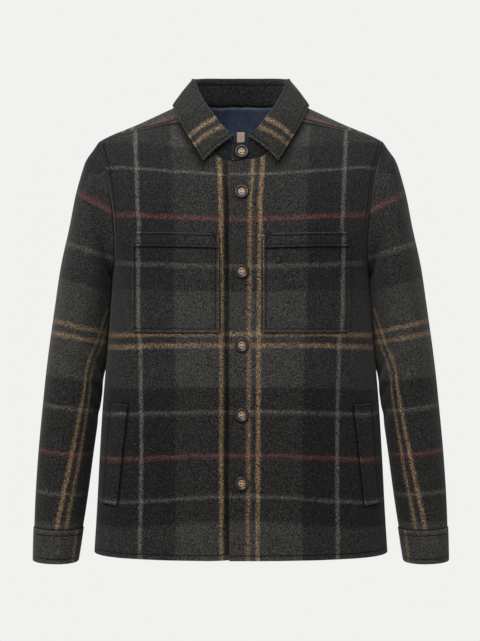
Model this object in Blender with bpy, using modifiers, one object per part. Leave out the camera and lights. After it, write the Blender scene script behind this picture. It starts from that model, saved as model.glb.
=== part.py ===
"""A man's wool shirt jacket, filled out as if worn, with nobody in it.

Metres, +Z up, the front faces -Y and the wearer's left is +X. The origin is between the two
points where the shoulder meets the neck: the wearer's shoulders carry the jacket there.
Every panel is a wall of cloth on one body form, which is worked out from the sizes below.
"""

import math
from collections import namedtuple

import bmesh
import bpy
import numpy as np
from mathutils import Matrix, Vector
from mathutils.bvhtree import BVHTree

# Cloth
CLOTH = 0.0022
FACED_CLOTH = 0.0030
LINING_CLOTH = 0.0010
SEAM_GAP = 0.0003
LAYER_GAP = 0.0005

# Body form
BODY_ROUNDNESS = 2.4
CHEST_LEVEL = -0.240
RIDGE_ROUND = 0.015
RIDGE_CREST = 0.006
FRONT_SLOPE = (2.0, 0.87)
BACK_SLOPE = (2.4, 0.50)
HEM_FRONT = -0.717
HEM_SIDE = -0.7185
ARMPIT_LEVEL = -0.280

# Front opening
OVERLAP = 0.0175
UNDERLAP_DROP = 0.0030
UNDERLAP_START = 0.052

# Mesh counts
NECK_COLUMNS = 5
SHOULDER_COLUMNS = 9
SIDE_ROWS = 11
ARMHOLE_ROWS = 9
BACK_NECK_COLUMNS = 7
OVER_ROWS = 2

# Buttons
BUTTON_RADIUS = 0.0105
BUTTON_THICK = 0.0036
BUTTON_HOLE_RADIUS = 0.0009
BUTTON_HOLE_SPACING = 0.0017
BUTTON_SIDES = 16

Ring = namedtuple("Ring", "z half_width front_depth back_depth")
BODY_RINGS = (
    Ring(-0.760, 0.2365, 0.1150, 0.1060),
    Ring(-0.717, 0.2337, 0.1160, 0.1060),
    Ring(-0.646, 0.2293, 0.1180, 0.1050),
    Ring(-0.568, 0.2253, 0.1190, 0.1020),
    Ring(-0.486, 0.2203, 0.1200, 0.1000),
    Ring(-0.395, 0.2127, 0.1220, 0.1020),
    Ring(-0.318, 0.2070, 0.1250, 0.1080),
    Ring(-0.280, 0.2045, 0.1260, 0.1110),
    Ring(-0.240, 0.2130, 0.1265, 0.1130),
    Ring(-0.200, 0.2190, 0.1265, 0.1150),
    Ring(-0.150, 0.2260, 0.1255, 0.1170),
    Ring(-0.100, 0.2370, 0.1220, 0.1180),
    Ring(-0.060, 0.2520, 0.1200, 0.1180),
    Ring(0.040, 0.3000, 0.1200, 0.1180),
)

# The top of the shoulder, from the neck outwards
RidgePoint = namedtuple("RidgePoint", "x z")
SHOULDER_RIDGE = (
    RidgePoint(0.000, 0.0300),
    RidgePoint(0.040, 0.0195),
    RidgePoint(0.060, 0.0105),
    RidgePoint(0.0775, 0.0025),
    RidgePoint(0.1075, -0.0107),
    RidgePoint(0.165, -0.0374),
    RidgePoint(0.211, -0.0565),
    RidgePoint(0.2275, -0.0655),
    RidgePoint(0.260, -0.0900),
)

# below: how far under the shoulder's ridge a point lies along the cloth, in front where positive
EdgePoint = namedtuple("EdgePoint", "x below")
NECKLINE = (
    EdgePoint(0.0000, 0.1490),
    EdgePoint(0.0210, 0.1420),
    EdgePoint(0.0410, 0.1260),
    EdgePoint(0.0580, 0.1030),
    EdgePoint(0.0700, 0.0760),
    EdgePoint(0.0770, 0.0450),
    EdgePoint(0.0785, 0.0000),
    EdgePoint(0.0745, -0.0110),
    EdgePoint(0.0620, -0.0210),
    EdgePoint(0.0380, -0.0330),
    EdgePoint(0.0000, -0.0424),
)
SEAM_ON_NECKLINE = 5
RIDGE_ON_NECKLINE = 6
SHOULDER_SEAM = (
    EdgePoint(0.0770, 0.0450),
    EdgePoint(0.1010, 0.0390),
    EdgePoint(0.1590, 0.0215),
    EdgePoint(0.2000, 0.0100),
    EdgePoint(0.2272, 0.0040),
)
LEAF_EDGE = (
    EdgePoint(0.0575, 0.1330),
    EdgePoint(0.0780, 0.0880),
    EdgePoint(0.0955, 0.0480),
    EdgePoint(0.1055, 0.0170),
    EdgePoint(0.1080, 0.0000),
    EdgePoint(0.1040, -0.0125),
    EdgePoint(0.0880, -0.0240),
    EdgePoint(0.0580, -0.0390),
    EdgePoint(0.0300, -0.0520),
    EdgePoint(0.0000, -0.0570),
)

ArmholePoint = namedtuple("ArmholePoint", "x z")
FRONT_ARMHOLE = (
    ArmholePoint(0.2045, -0.2800),
    ArmholePoint(0.2010, -0.2730),
    ArmholePoint(0.1978, -0.2560),
    ArmholePoint(0.1966, -0.2280),
    ArmholePoint(0.2005, -0.1770),
    ArmholePoint(0.2068, -0.1387),
    ArmholePoint(0.2165, -0.1000),
    ArmholePoint(0.2240, -0.0770),
    ArmholePoint(0.2275, -0.0655),
)
BACK_ARMHOLE = (
    ArmholePoint(0.2045, -0.2800),
    ArmholePoint(0.2012, -0.2710),
    ArmholePoint(0.1990, -0.2500),
    ArmholePoint(0.1992, -0.2150),
    ArmholePoint(0.2030, -0.1650),
    ArmholePoint(0.2095, -0.1250),
    ArmholePoint(0.2185, -0.0900),
    ArmholePoint(0.2250, -0.0730),
    ArmholePoint(0.2275, -0.0655),
)

# Rings of the sleeve: the point furthest from the body, the one nearest it, and the depth
SleeveRing = namedtuple("SleeveRing", "outer_x outer_z inner_x inner_z half_depth y")
SLEEVE_RINGS = (
    SleeveRing(0.2412, -0.0865, 0.2066, -0.2845, 0.0650, 0.000),
    SleeveRing(0.2522, -0.1105, 0.2074, -0.2885, 0.0690, 0.000),
    SleeveRing(0.2626, -0.1475, 0.2072, -0.2945, 0.0730, 0.001),
    SleeveRing(0.2732, -0.2005, 0.2073, -0.3055, 0.0765, 0.003),
    SleeveRing(0.2855, -0.2545, 0.2086, -0.3260, 0.0775, 0.005),
    SleeveRing(0.2957, -0.3185, 0.2108, -0.3560, 0.0755, 0.006),
    SleeveRing(0.3032, -0.3700, 0.2140, -0.3960, 0.0710, 0.006),
    SleeveRing(0.3127, -0.4465, 0.2206, -0.4600, 0.0640, 0.004),
    SleeveRing(0.3176, -0.5000, 0.2278, -0.5060, 0.0590, 0.000),
    SleeveRing(0.3214, -0.5450, 0.2338, -0.5490, 0.0550, -0.004),
    SleeveRing(0.3250, -0.6000, 0.2405, -0.6030, 0.0510, -0.009),
    SleeveRing(0.3272, -0.6500, 0.2470, -0.6520, 0.0475, -0.013),
    SleeveRing(0.3278, -0.6760, 0.2512, -0.6790, 0.0458, -0.015),
)
CUFF_RINGS = (
    SleeveRing(0.3291, -0.6765, 0.2499, -0.6795, 0.0472, -0.015),
    SleeveRing(0.3295, -0.6930, 0.2522, -0.6955, 0.0462, -0.016),
    SleeveRing(0.3298, -0.7110, 0.2549, -0.7140, 0.0453, -0.017),
    SleeveRing(0.3300, -0.7288, 0.2578, -0.7315, 0.0444, -0.018),
)
SLEEVE_ROUNDNESS = 2.15
SLEEVE_ROWS = 22

# Soft folds: where they lie along and around the sleeve (0 outside, 0.25 front, 0.5 underarm)
SleeveFold = namedtuple("SleeveFold", "along around length width depth")
SLEEVE_FOLDS = (
    SleeveFold(0.40, 0.42, 0.13, 0.030, 0.0050),
    SleeveFold(0.49, 0.37, 0.12, 0.028, 0.0035),
    SleeveFold(0.44, 0.62, 0.10, 0.026, 0.0035),
    SleeveFold(0.56, 0.45, 0.10, 0.026, 0.0030),
    SleeveFold(0.30, 0.56, 0.10, 0.030, 0.0030),
    SleeveFold(0.90, 0.35, 0.09, 0.030, 0.0020),
)

# Soft drape folds down the body, at a place on the front or back
BodyFold = namedtuple("BodyFold", "x z side half_width half_length lean depth")
BODY_FOLDS = (
    BodyFold(0.150, -0.640, -1, 0.026, 0.110, -0.06, 0.0020),
    BodyFold(0.120, -0.230, 1, 0.032, 0.080, 0.20, 0.0030),
    BodyFold(0.095, -0.560, 1, 0.030, 0.140, 0.05, 0.0035),
    BodyFold(0.030, -0.400, 1, 0.028, 0.120, 0.00, 0.0025),
)

# Neck and collar, from the centre front to the centre back
CurvePoint = namedtuple("CurvePoint", "x y z")
STAND_TOP = (
    CurvePoint(0.0000, -0.0890, -0.0765),
    CurvePoint(0.0130, -0.0870, -0.0722),
    CurvePoint(0.0270, -0.0830, -0.0615),
    CurvePoint(0.0410, -0.0735, -0.0425),
    CurvePoint(0.0560, -0.0560, -0.0200),
    CurvePoint(0.0672, -0.0335, 0.0020),
    CurvePoint(0.0735, -0.0040, 0.0235),
    CurvePoint(0.0715, 0.0210, 0.0285),
    CurvePoint(0.0595, 0.0400, 0.0315),
    CurvePoint(0.0350, 0.0505, 0.0330),
    CurvePoint(0.0000, 0.0535, 0.0330),
)
ROLL_LINE = (
    CurvePoint(0.0105, -0.0900, -0.0640),
    CurvePoint(0.0270, -0.0840, -0.0515),
    CurvePoint(0.0410, -0.0745, -0.0325),
    CurvePoint(0.0560, -0.0570, -0.0105),
    CurvePoint(0.0680, -0.0330, 0.0130),
    CurvePoint(0.0758, -0.0030, 0.0350),
    CurvePoint(0.0745, 0.0230, 0.0395),
    CurvePoint(0.0615, 0.0430, 0.0435),
    CurvePoint(0.0360, 0.0545, 0.0455),
    CurvePoint(0.0000, 0.0575, 0.0460),
)
STAND_TAB = 0.0145
STAND_ROWS = 3
STAND_CLOTH = 0.0026
STAND_LIFT = 0.0010
STAND_SINK = (0.0048, 0.0046, 0.0040, 0.0018, 0.0006)
LEAF_START = 0.0105
LEAF_CLOTH = 0.0026
LEAF_LIFT = 0.0046
LEAF_TURN = 0.0033
LEAF_TURN_ANGLES = (0, 50, 90, 130, 180)
LEAF_FALL = ((0.20, 0.0022), (0.45, 0.0034), (0.72, 0.0024), (1.0, 0.0))

# Pockets on the fronts: left and right edges measured from the centre front
Patch = namedtuple("Patch", "x_near x_far z_top z_bottom near_drop")
CHEST_POCKET = Patch(0.0330, 0.1650, -0.2160, -0.3690, 0.0040)
POCKET_BAND_HEIGHT = 0.0210
POCKET_BAND_INSET = 0.0110
Welt = namedtuple("Welt", "z x_near x_far")
SIDE_WELT = (Welt(-0.4805, 0.1735, 0.1990), Welt(-0.6375, 0.1905, 0.2125))
POCKET_CLOTH = 0.0018
BUTTON_HEIGHTS = (-0.1550, -0.2760, -0.3880, -0.4940, -0.5980)

# Back lining
LINING_GAP = 0.0010
LINING_INSET = 0.0060
LINING_ROWS = 11
LABEL_CLOTH = 0.0006
LABEL_WIDTH = 0.0130
LABEL_HEIGHT = 0.0160
LABEL_TOP = -0.0400

CHARCOAL = (0.035, 0.036, 0.036)
NAVY = (0.020, 0.027, 0.055)
HORN = (0.060, 0.042, 0.036)
TAPE = (0.62, 0.40, 0.33)


def smooth(table, key, value, where):
    """The column value of a table at where, along its column key, with no overshoot."""
    xs = np.array([getattr(row, key) for row in table], float)
    ys = np.array([getattr(row, value) for row in table], float)
    return hermite(xs, ys, where)


def hermite(xs, ys, where, flat_start=False):
    """Monotone cubic curve through the points (xs, ys)."""
    step = np.diff(xs)
    slope = np.diff(ys) / step
    tangent = np.zeros_like(ys)
    same = slope[:-1] * slope[1:] > 0
    total = np.where(same, slope[:-1] + slope[1:], 1.0)
    tangent[1:-1] = np.where(same, 2 * slope[:-1] * slope[1:] / total, 0.0)
    tangent[0], tangent[-1] = 0.0 if flat_start else slope[0], slope[-1]
    where = np.clip(np.asarray(where, float), xs[0], xs[-1])
    i = np.clip(np.searchsorted(xs, where, side="right") - 1, 0, len(step) - 1)
    t = (where - xs[i]) / step[i]
    rise = ys[i] * (1 + 2 * t) * (1 - t) ** 2 + ys[i + 1] * t * t * (3 - 2 * t)
    return rise + step[i] * (tangent[i] * t * (1 - t) ** 2 - tangent[i + 1] * t * t * (1 - t))


def spline(points, where):
    """A natural cubic curve through points, by chord length, at where from 0 to 1."""
    points = np.asarray(points, float)
    chord = np.linalg.norm(np.diff(points, axis=0), axis=1)
    knots = np.concatenate([[0.0], np.cumsum(chord)])
    knots /= knots[-1]
    count = len(points)
    matrix = np.zeros((count, count))
    right = np.zeros_like(points)
    matrix[0, 0] = matrix[-1, -1] = 1.0
    step = np.diff(knots)
    for i in range(1, count - 1):
        matrix[i, i - 1 : i + 2] = step[i - 1], 2 * (step[i - 1] + step[i]), step[i]
        right[i] = 6 * (
            (points[i + 1] - points[i]) / step[i] - (points[i] - points[i - 1]) / step[i - 1]
        )
    bend = np.linalg.solve(matrix, right)
    where = np.clip(np.asarray(where, float), 0, 1)
    i = np.clip(np.searchsorted(knots, where, side="right") - 1, 0, count - 2)
    h = step[i][:, None]
    a = (knots[i + 1] - where)[:, None] / h
    b = (where - knots[i])[:, None] / h
    sag = ((a**3 - a) * bend[i] + (b**3 - b) * bend[i + 1]) * h * h / 6
    return a * points[i] + b * points[i + 1] + sag


def unit(vectors):
    return vectors / np.maximum(np.linalg.norm(vectors, axis=-1, keepdims=True), 1e-12)


def even(curve, count, dense=240):
    """count + 1 parameters that divide a curve, a function of 0 to 1, into equal lengths."""
    t = np.linspace(0, 1, dense)
    run = np.concatenate([[0], np.cumsum(np.linalg.norm(np.diff(curve(t), axis=0), axis=1))])
    return np.interp(np.linspace(0, run[-1], count + 1), run, t)


# Body form


def ridge(x):
    points = np.array(SHOULDER_RIDGE)
    return hermite(points[:, 0], points[:, 1], np.abs(x), flat_start=True)


def rise_share(x, z, slope):
    """How much of the chest's depth is left at a height, 1 at the chest and 0 above the ridge."""
    top = ridge(x) + RIDGE_CREST
    share = np.clip((z - CHEST_LEVEL) / (top - CHEST_LEVEL), 0, 1)
    return (1 - share ** slope[0]) ** slope[1]


def depth(x, z, across, front):
    """Distance of the cloth from the shoulder's plane, across being the section's own share."""
    found = np.zeros_like(x)
    for side, column, slope in ((True, "front_depth", FRONT_SLOPE), (False, "back_depth", BACK_SLOPE)):
        share = rise_share(x, z, slope) ** 2 - rise_share(x, ridge(x), slope) ** 2
        value = smooth(BODY_RINGS, "z", column, z) * across * np.sqrt(np.clip(share, 0, None))
        found = np.where(front == side, value, found)
    return found


def fold_depth(x, z, side):
    """How far the soft folds press the cloth in."""
    pressed = np.zeros_like(x)
    for fold in BODY_FOLDS:
        along = (z - fold.z) / fold.half_length
        across = (np.abs(x) - fold.x - fold.lean * (z - fold.z)) / fold.half_width
        soft = np.exp(-(along**2) - across**2)
        pressed += np.where(side == fold.side, fold.depth * soft, 0.0)
    return pressed


def drop_of(below):
    return np.sqrt(RIDGE_ROUND**2 + below**2) - RIDGE_ROUND


def body_point(turn, below):
    """The cloth's outer face. turn is the angle from the centre line to the side seam."""
    turn, below = np.broadcast_arrays(np.asarray(turn, float), np.asarray(below, float))
    power = 2 / BODY_ROUNDNESS
    sideways = np.sign(turn) * np.abs(np.sin(turn)) ** power
    across = np.abs(np.cos(turn)) ** power
    x = sideways * 0.22
    for _ in range(12):
        z = ridge(x) - drop_of(below)
        x = sideways * smooth(BODY_RINGS, "z", "half_width", z)
    side = np.where(below > 0, -1.0, 1.0)
    y = side * (depth(x, z, across, below > 0) - fold_depth(x, z, side))
    return np.stack([x, y, z], axis=-1)


def body_place(x, z, front):
    """(turn, below) of a place given by its width and height."""
    x, z = np.broadcast_arrays(np.asarray(x, float), np.asarray(z, float))
    width = smooth(BODY_RINGS, "z", "half_width", z)
    share = np.clip(np.abs(x) / width, 0, 1) ** (BODY_ROUNDNESS / 2)
    drop = np.clip(ridge(x) - z, 0, None)
    below = np.sqrt((drop + RIDGE_ROUND) ** 2 - RIDGE_ROUND**2)
    return np.stack([np.sign(x) * np.arcsin(share), below if front else -below], axis=-1)


def edge_place(x, below):
    """(turn, below) of a place given by its width and its distance under the ridge."""
    z = ridge(x) - drop_of(below)
    share = np.clip(np.abs(x) / smooth(BODY_RINGS, "z", "half_width", z), 0, 1)
    return np.stack([np.sign(x) * np.arcsin(share ** (BODY_ROUNDNESS / 2)), below], axis=-1)


def body_normal(places):
    """Outward directions of the body form at (turn, below) places."""
    turn, below = places[..., 0], places[..., 1]
    step_turn, step_below = 0.01, 0.002
    inward = np.where(turn > 0, -step_turn, step_turn)
    across = body_point(turn, below) - body_point(turn + inward, below)
    upright = body_point(turn, below + step_below) - body_point(turn, below - step_below)
    normal = unit(np.cross(across, upright))
    point = body_point(turn, below)
    centre = np.stack(
        [point[..., 0] * 0.5, point[..., 1] * 0, np.minimum(point[..., 2], CHEST_LEVEL)], axis=-1
    )
    facing = np.sign(np.sum(normal * (point - centre), axis=-1, keepdims=True))
    return normal * facing


def along_table(table, first=0, last=None):
    """A curve of (turn, below) places through a table of x and below, over 0 to 1."""
    rows = table[first:last]
    points = np.array([(row.x, row.below) for row in rows])

    def curve(t):
        found = spline(points, t)
        return edge_place(found[:, 0], found[:, 1])

    return curve


def armhole_curve(table, front):
    points = np.array([(row.x, row.z) for row in table])

    def curve(t):
        found = spline(points, t)
        places = body_place(found[:, 0], np.minimum(found[:, 1], ridge(found[:, 0])), front)
        places[t <= 0, 0] = math.pi / 2
        return places

    return curve


def hem_height(x):
    return HEM_FRONT + (HEM_SIDE - HEM_FRONT) * np.clip(np.abs(x) / 0.234, 0, 1) ** 2


def hem_places(turns, front):
    """Places along the hem at the angles given."""
    x = np.sign(turns) * np.abs(np.sin(turns)) ** (2 / BODY_ROUNDNESS) * 0.2337
    places = body_place(x, hem_height(x), front)
    places[:, 0] = turns
    return places


def on_body(curve):
    return lambda t: body_point(*np.moveaxis(curve(t), -1, 0))


def pieces_of(curve, count):
    """Places that divide a curve on the body into equal lengths."""
    return curve(even(on_body(curve), count))


def joined(*runs):
    return np.concatenate([runs[0]] + [run[1:] for run in runs[1:]])


def coons(bottom, top, left, right):
    """Grid of places, rows from bottom to top, that meets its four edges."""
    s = np.linspace(0, 1, len(bottom))[None, :, None]
    t = np.linspace(0, 1, len(left))[:, None, None]
    ruled = (1 - t) * bottom[None] + t * top[None] + (1 - s) * left[:, None] + s * right[:, None]
    corners = (1 - s) * (1 - t) * bottom[0] + s * (1 - t) * bottom[-1]
    corners = corners + (1 - s) * t * top[0] + s * t * top[-1]
    return ruled - corners


def centre_edge(x, turns_up, heights_low, heights_high):
    """Places up the centre front at x, in two runs that match the side seam and the armhole."""
    z = joined(
        np.linspace(heights_low[0], heights_low[1], turns_up + 1),
        np.linspace(heights_high[0], heights_high[1], ARMHOLE_ROWS + 1),
    )
    return body_place(np.full_like(z, x), z, True)


def side_edge(front):
    """Places up the side seam from the hem to the armpit."""
    z = np.linspace(HEM_SIDE, ARMPIT_LEVEL, SIDE_ROWS + 1)
    places = body_place(smooth(BODY_RINGS, "z", "half_width", z), z, front)
    places[:, 0] = math.pi / 2
    return places


def front_places():
    """Grid of places of the wearer's left front, from its front edge to the side."""
    neck = along_table(NECKLINE, 0, SEAM_ON_NECKLINE + 1)
    seam = along_table(SHOULDER_SEAM)
    armhole = armhole_curve(FRONT_ARMHOLE, True)
    edge_below = NECKLINE[0].below + 0.0012
    corner = edge_place(np.array([-OVERLAP]), np.array([edge_below]))
    neck_run = joined(corner, np.concatenate([corner, pieces_of(neck, NECK_COLUMNS - 1)]))
    shoulder_run = pieces_of(seam, SHOULDER_COLUMNS)
    top = joined(neck_run, shoulder_run)
    edge_turn = body_place(-OVERLAP, HEM_FRONT, True)[0]
    split_turn = body_place(0.080, HEM_FRONT, True)[0]
    hem_turns = joined(
        np.linspace(edge_turn, split_turn, NECK_COLUMNS + 1),
        np.linspace(split_turn, math.pi / 2, SHOULDER_COLUMNS + 1),
    )
    bottom = hem_places(hem_turns, True)
    tip = armhole(even(on_body(armhole), ARMHOLE_ROWS))
    tip[-1] = shoulder_run[-1]
    right = joined(side_edge(True), tip)
    top_z = float(body_point(*corner[0])[2])
    left = centre_edge(-OVERLAP, SIDE_ROWS, (HEM_FRONT, -0.300), (-0.300, top_z))
    left[0], left[-1] = bottom[0], top[0]
    return coons(bottom, top, left, right)


def back_places():
    """Grid of places of the back, which runs over the shoulders to the seams in front.

    Its last rows, past the ridge, hold cloth on the shoulders only.
    """
    neck = along_table(NECKLINE, RIDGE_ON_NECKLINE)
    neck_half = pieces_of(neck, BACK_NECK_COLUMNS)[::-1]
    shoulder_run = pieces_of(along_table(SHOULDER_SEAM), SHOULDER_COLUMNS)
    start, end = NECKLINE[RIDGE_ON_NECKLINE].x, BACK_ARMHOLE[-1].x
    crest = edge_place(np.linspace(start, end, SHOULDER_COLUMNS + 1), np.zeros(SHOULDER_COLUMNS + 1))
    crest[0] = neck_half[-1]
    split_turn = body_place(0.080, HEM_FRONT, False)[0]
    hem_turns = joined(
        np.linspace(0, split_turn, BACK_NECK_COLUMNS + 1),
        np.linspace(split_turn, math.pi / 2, SHOULDER_COLUMNS + 1),
    )
    bottom = hem_places(hem_turns, False)
    armhole = armhole_curve(BACK_ARMHOLE, False)
    tip = armhole(even(on_body(armhole), ARMHOLE_ROWS - 1))
    tip[-1] = crest[-1]
    centre_z = joined(
        np.linspace(HEM_FRONT, -0.290, SIDE_ROWS + 1),
        np.linspace(-0.290, float(body_point(*neck_half[0])[2]), ARMHOLE_ROWS),
    )
    centre = body_place(np.zeros_like(centre_z), centre_z, False)
    centre[0], centre[-1] = bottom[0], neck_half[0]
    half = coons(bottom, joined(neck_half, crest), centre, joined(side_edge(False), tip))
    share = (np.arange(1, OVER_ROWS + 1) / OVER_ROWS)[:, None, None]
    over = crest + (shoulder_run - crest) * share
    unused = np.repeat(neck_half[None, :-1], OVER_ROWS, axis=0)
    half = np.concatenate([half, np.concatenate([unused, over], axis=1)])
    mirrored = half[:, :0:-1] * np.array([-1.0, 1.0])
    return np.concatenate([mirrored, half], axis=1)


def back_cloth(rows, cells):
    """Marks the cells of the back's grid that are cloth."""
    keep = np.ones((rows, cells), bool)
    keep[-OVER_ROWS:, SHOULDER_COLUMNS:-SHOULDER_COLUMNS] = False
    return keep


# Sleeves


def ring_shape(ring, around):
    """Points of one sleeve ring, around being the share of the way from outside to outside."""
    centre = np.array([(ring.outer_x + ring.inner_x) / 2, ring.y, (ring.outer_z + ring.inner_z) / 2])
    reach = np.array([(ring.outer_x - ring.inner_x) / 2, 0, (ring.outer_z - ring.inner_z) / 2])
    power = 2 / SLEEVE_ROUNDNESS

    def curve(t):
        angle = t * 2 * math.pi
        cos, sin = np.cos(angle), np.sin(angle)
        c = (np.sign(cos) * np.abs(cos) ** power)[:, None]
        s = (np.sign(sin) * np.abs(sin) ** power)[:, None]
        return centre + c * reach + s * np.array([0, -ring.half_depth, 0])

    t = even(curve, 720, 1441)
    return curve(np.interp(around, np.linspace(0, 1, 721), t))


def armhole_loop(front_grid, back_grid):
    """Places round the wearer's left armhole: down the front and up the back."""
    front = front_grid[SIDE_ROWS:, -1][::-1]
    back = back_grid[SIDE_ROWS + 1 : -1, -1]
    return np.concatenate([front, back])


def sleeve_grid(loop, rings, rows):
    """Grid of points, rows along the sleeve, and each column's share of the way round."""
    start = body_point(loop[:, 0], loop[:, 1])
    closed = np.concatenate([start, start[:1]])
    run = np.concatenate([[0], np.cumsum(np.linalg.norm(np.diff(closed, axis=0), axis=1))])
    around = (run / run[-1])[:-1]
    lines = np.array([start] + [ring_shape(ring, around) for ring in rings])
    along = np.linspace(0, 1, rows + 1)
    grid = np.stack([spline(lines[:, j], along) for j in range(lines.shape[1])], axis=1)
    return grid, around, along


def grid_normals(grid, around_closed):
    """Directions square to a grid of points. Columns close up where around_closed is true."""
    along = np.gradient(grid, axis=0)
    if around_closed:
        across = np.roll(grid, -1, axis=1) - np.roll(grid, 1, axis=1)
    else:
        across = np.gradient(grid, axis=1)
    return unit(np.cross(across, along))


def press_sleeve_folds(grid, normal, around, along):
    deep = np.zeros((len(along), len(around)))
    for fold in SLEEVE_FOLDS:
        gap = np.abs(around - fold.around)
        gap = np.minimum(gap, 1 - gap)
        reach = np.exp(-((gap / fold.length) ** 2))[None, :]
        deep += fold.depth * reach * np.exp(-(((along - fold.along) / fold.width) ** 2))[:, None]
    return grid - normal * deep[..., None]


# Solids


def collection(name, hidden=False):
    found = bpy.data.collections.new(name)
    bpy.context.scene.collection.children.link(found)
    found.hide_render = hidden
    return found


def material(name, colour, roughness, metallic=0.0):
    made = bpy.data.materials.new(name)
    made.use_nodes = True
    shader = made.node_tree.nodes["Principled BSDF"]
    shader.inputs["Base Color"].default_value = (*colour, 1.0)
    shader.inputs["Roughness"].default_value = roughness
    shader.inputs["Metallic"].default_value = metallic
    return made


def wall(name, outer, normal, thick, closed=False, keep=None):
    """One closed wall of cloth: a loft between unlike sections, thickened inwards.

    outer is a grid of points, closed says that its columns run all the way round, and keep
    marks the cells that are cloth.
    """
    rows, columns = outer.shape[:2]
    inner = outer - normal * thick
    points = np.concatenate([outer.reshape(-1, 3), inner.reshape(-1, 3)])
    count = rows * columns
    cells = columns if closed else columns - 1
    if keep is None:
        keep = np.ones((rows - 1, cells), bool)
    faces = []
    edges = {}
    for i in range(rows - 1):
        for j in range(cells):
            if not keep[i, j]:
                continue
            k = (j + 1) % columns
            corners = [i * columns + j, i * columns + k, (i + 1) * columns + k, (i + 1) * columns + j]
            turn = 1 if j < cells // 2 else 0
            a, b, c, d = corners[turn:] + corners[:turn]
            for half in ((a, b, c), (a, c, d)):
                faces.append(half)
                faces.append([c + count for c in reversed(half)])
            for a, b in zip(corners, corners[1:] + corners[:1]):
                edges[(a, b)] = True
    for a, b in edges:
        if (b, a) not in edges:
            faces.append([b, a, a + count, b + count])
    mesh = bpy.data.meshes.new(name)
    mesh.from_pydata([tuple(p) for p in points], [], faces)
    shape = bmesh.new()
    shape.from_mesh(mesh)
    loose = [v for v in shape.verts if not v.link_faces]
    bmesh.ops.delete(shape, geom=loose, context="VERTS")
    bmesh.ops.recalc_face_normals(shape, faces=shape.faces)
    if shape.calc_volume(signed=True) < 0:
        bmesh.ops.reverse_faces(shape, faces=shape.faces)
    shape.to_mesh(mesh)
    shape.free()
    mesh.shade_smooth()
    mesh.set_sharp_from_angle(angle=math.radians(50))
    return mesh


def place(mesh, name, group, finish, matrix=None):
    found = bpy.data.objects.new(name, mesh)
    if not mesh.materials:
        mesh.materials.append(finish)
    if matrix is not None:
        found.matrix_world = matrix
    group.objects.link(found)
    return found


def trimmed(grid, edges, amount):
    """The grid with the edges named pulled back by half a seam's gap."""
    grid = grid.copy()
    pull = {
        "bottom": (np.s_[0], np.s_[1]),
        "top": (np.s_[-1], np.s_[-2]),
        "left": (np.s_[:, 0], np.s_[:, 1]),
        "right": (np.s_[:, -1], np.s_[:, -2]),
    }
    for name in edges:
        edge, neighbour = pull[name]
        grid[edge] += unit(grid[neighbour] - grid[edge]) * amount
    return grid


def flipped(points):
    return points * np.array([-1.0, 1.0, 1.0])


def underlap(points):
    """The wearer's right front drops behind the left one near the centre."""
    share = np.clip((UNDERLAP_START + points[..., 0]) / (UNDERLAP_START - OVERLAP - 0.008), 0, 1)
    return UNDERLAP_DROP * share * share * (3 - 2 * share)


def evened(normals):
    """Directions round a loop, each averaged with the ones beside it."""
    return unit(normals * 2 + np.roll(normals, 1, axis=0) + np.roll(normals, -1, axis=0))


def build_body(group, wool):
    """Both fronts and the back, and what the sleeves need of the armhole."""
    front = front_places()
    back = back_places()
    loop = armhole_loop(front, back)
    sleeve_points, around, along = sleeve_grid(loop, SLEEVE_RINGS, SLEEVE_ROWS)
    sleeve_normal = grid_normals(sleeve_points, True)
    centre = sleeve_points.mean(axis=1, keepdims=True)
    facing = np.sum(sleeve_normal * (sleeve_points - centre), axis=(1, 2))
    sleeve_normal *= np.sign(facing)[:, None, None]
    front_normal = body_normal(front)
    back_normal = body_normal(back)
    body_side = body_normal(loop)
    leaving = unit(sleeve_points[1] - sleeve_points[0])
    ridge_share = np.clip(0.25 - np.sum(leaving * body_side, axis=1) * 1.5, 0, 1)[:, None]
    seam_normal = unit(body_side + sleeve_normal[0] * ridge_share)
    sleeve_normal[0] = unit(sleeve_normal[0] + body_side * ridge_share)
    for _ in range(2):
        seam_normal = evened(seam_normal)
        sleeve_normal[0] = evened(sleeve_normal[0])
    side = unit(front_normal[:SIDE_ROWS, -1] + back_normal[:SIDE_ROWS, -1])
    front_normal[:SIDE_ROWS, -1] = back_normal[:SIDE_ROWS, -1] = side
    back_normal[:SIDE_ROWS, 0] = flipped(side)
    rows = ARMHOLE_ROWS + 1
    front_normal[SIDE_ROWS:, -1] = seam_normal[:rows][::-1]
    back_side = np.concatenate([seam_normal[rows - 1 :], seam_normal[:1]])
    back_normal[SIDE_ROWS:, -1] = back_side
    back_normal[SIDE_ROWS:, 0] = flipped(back_side)

    half_gap = SEAM_GAP * 0.6
    points = body_point(front[..., 0], front[..., 1])
    left = trimmed(points, ("right", "top"), half_gap)
    place(wall("front_left", left, front_normal, CLOTH), "front_left", group, wool)
    right = flipped(left)
    right_normal = flipped(front_normal)
    right = right - right_normal * underlap(right)[..., None]
    place(wall("front_right", right, right_normal, CLOTH), "front_right", group, wool)
    points = body_point(back[..., 0], back[..., 1])
    points = trimmed(points, ("left", "right", "top"), half_gap)
    keep = back_cloth(points.shape[0] - 1, points.shape[1] - 1)
    place(wall("back", points, back_normal, CLOTH, keep=keep), "back", group, wool)
    return sleeve_points, sleeve_normal, around, along, left, (points, back_normal)


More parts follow.
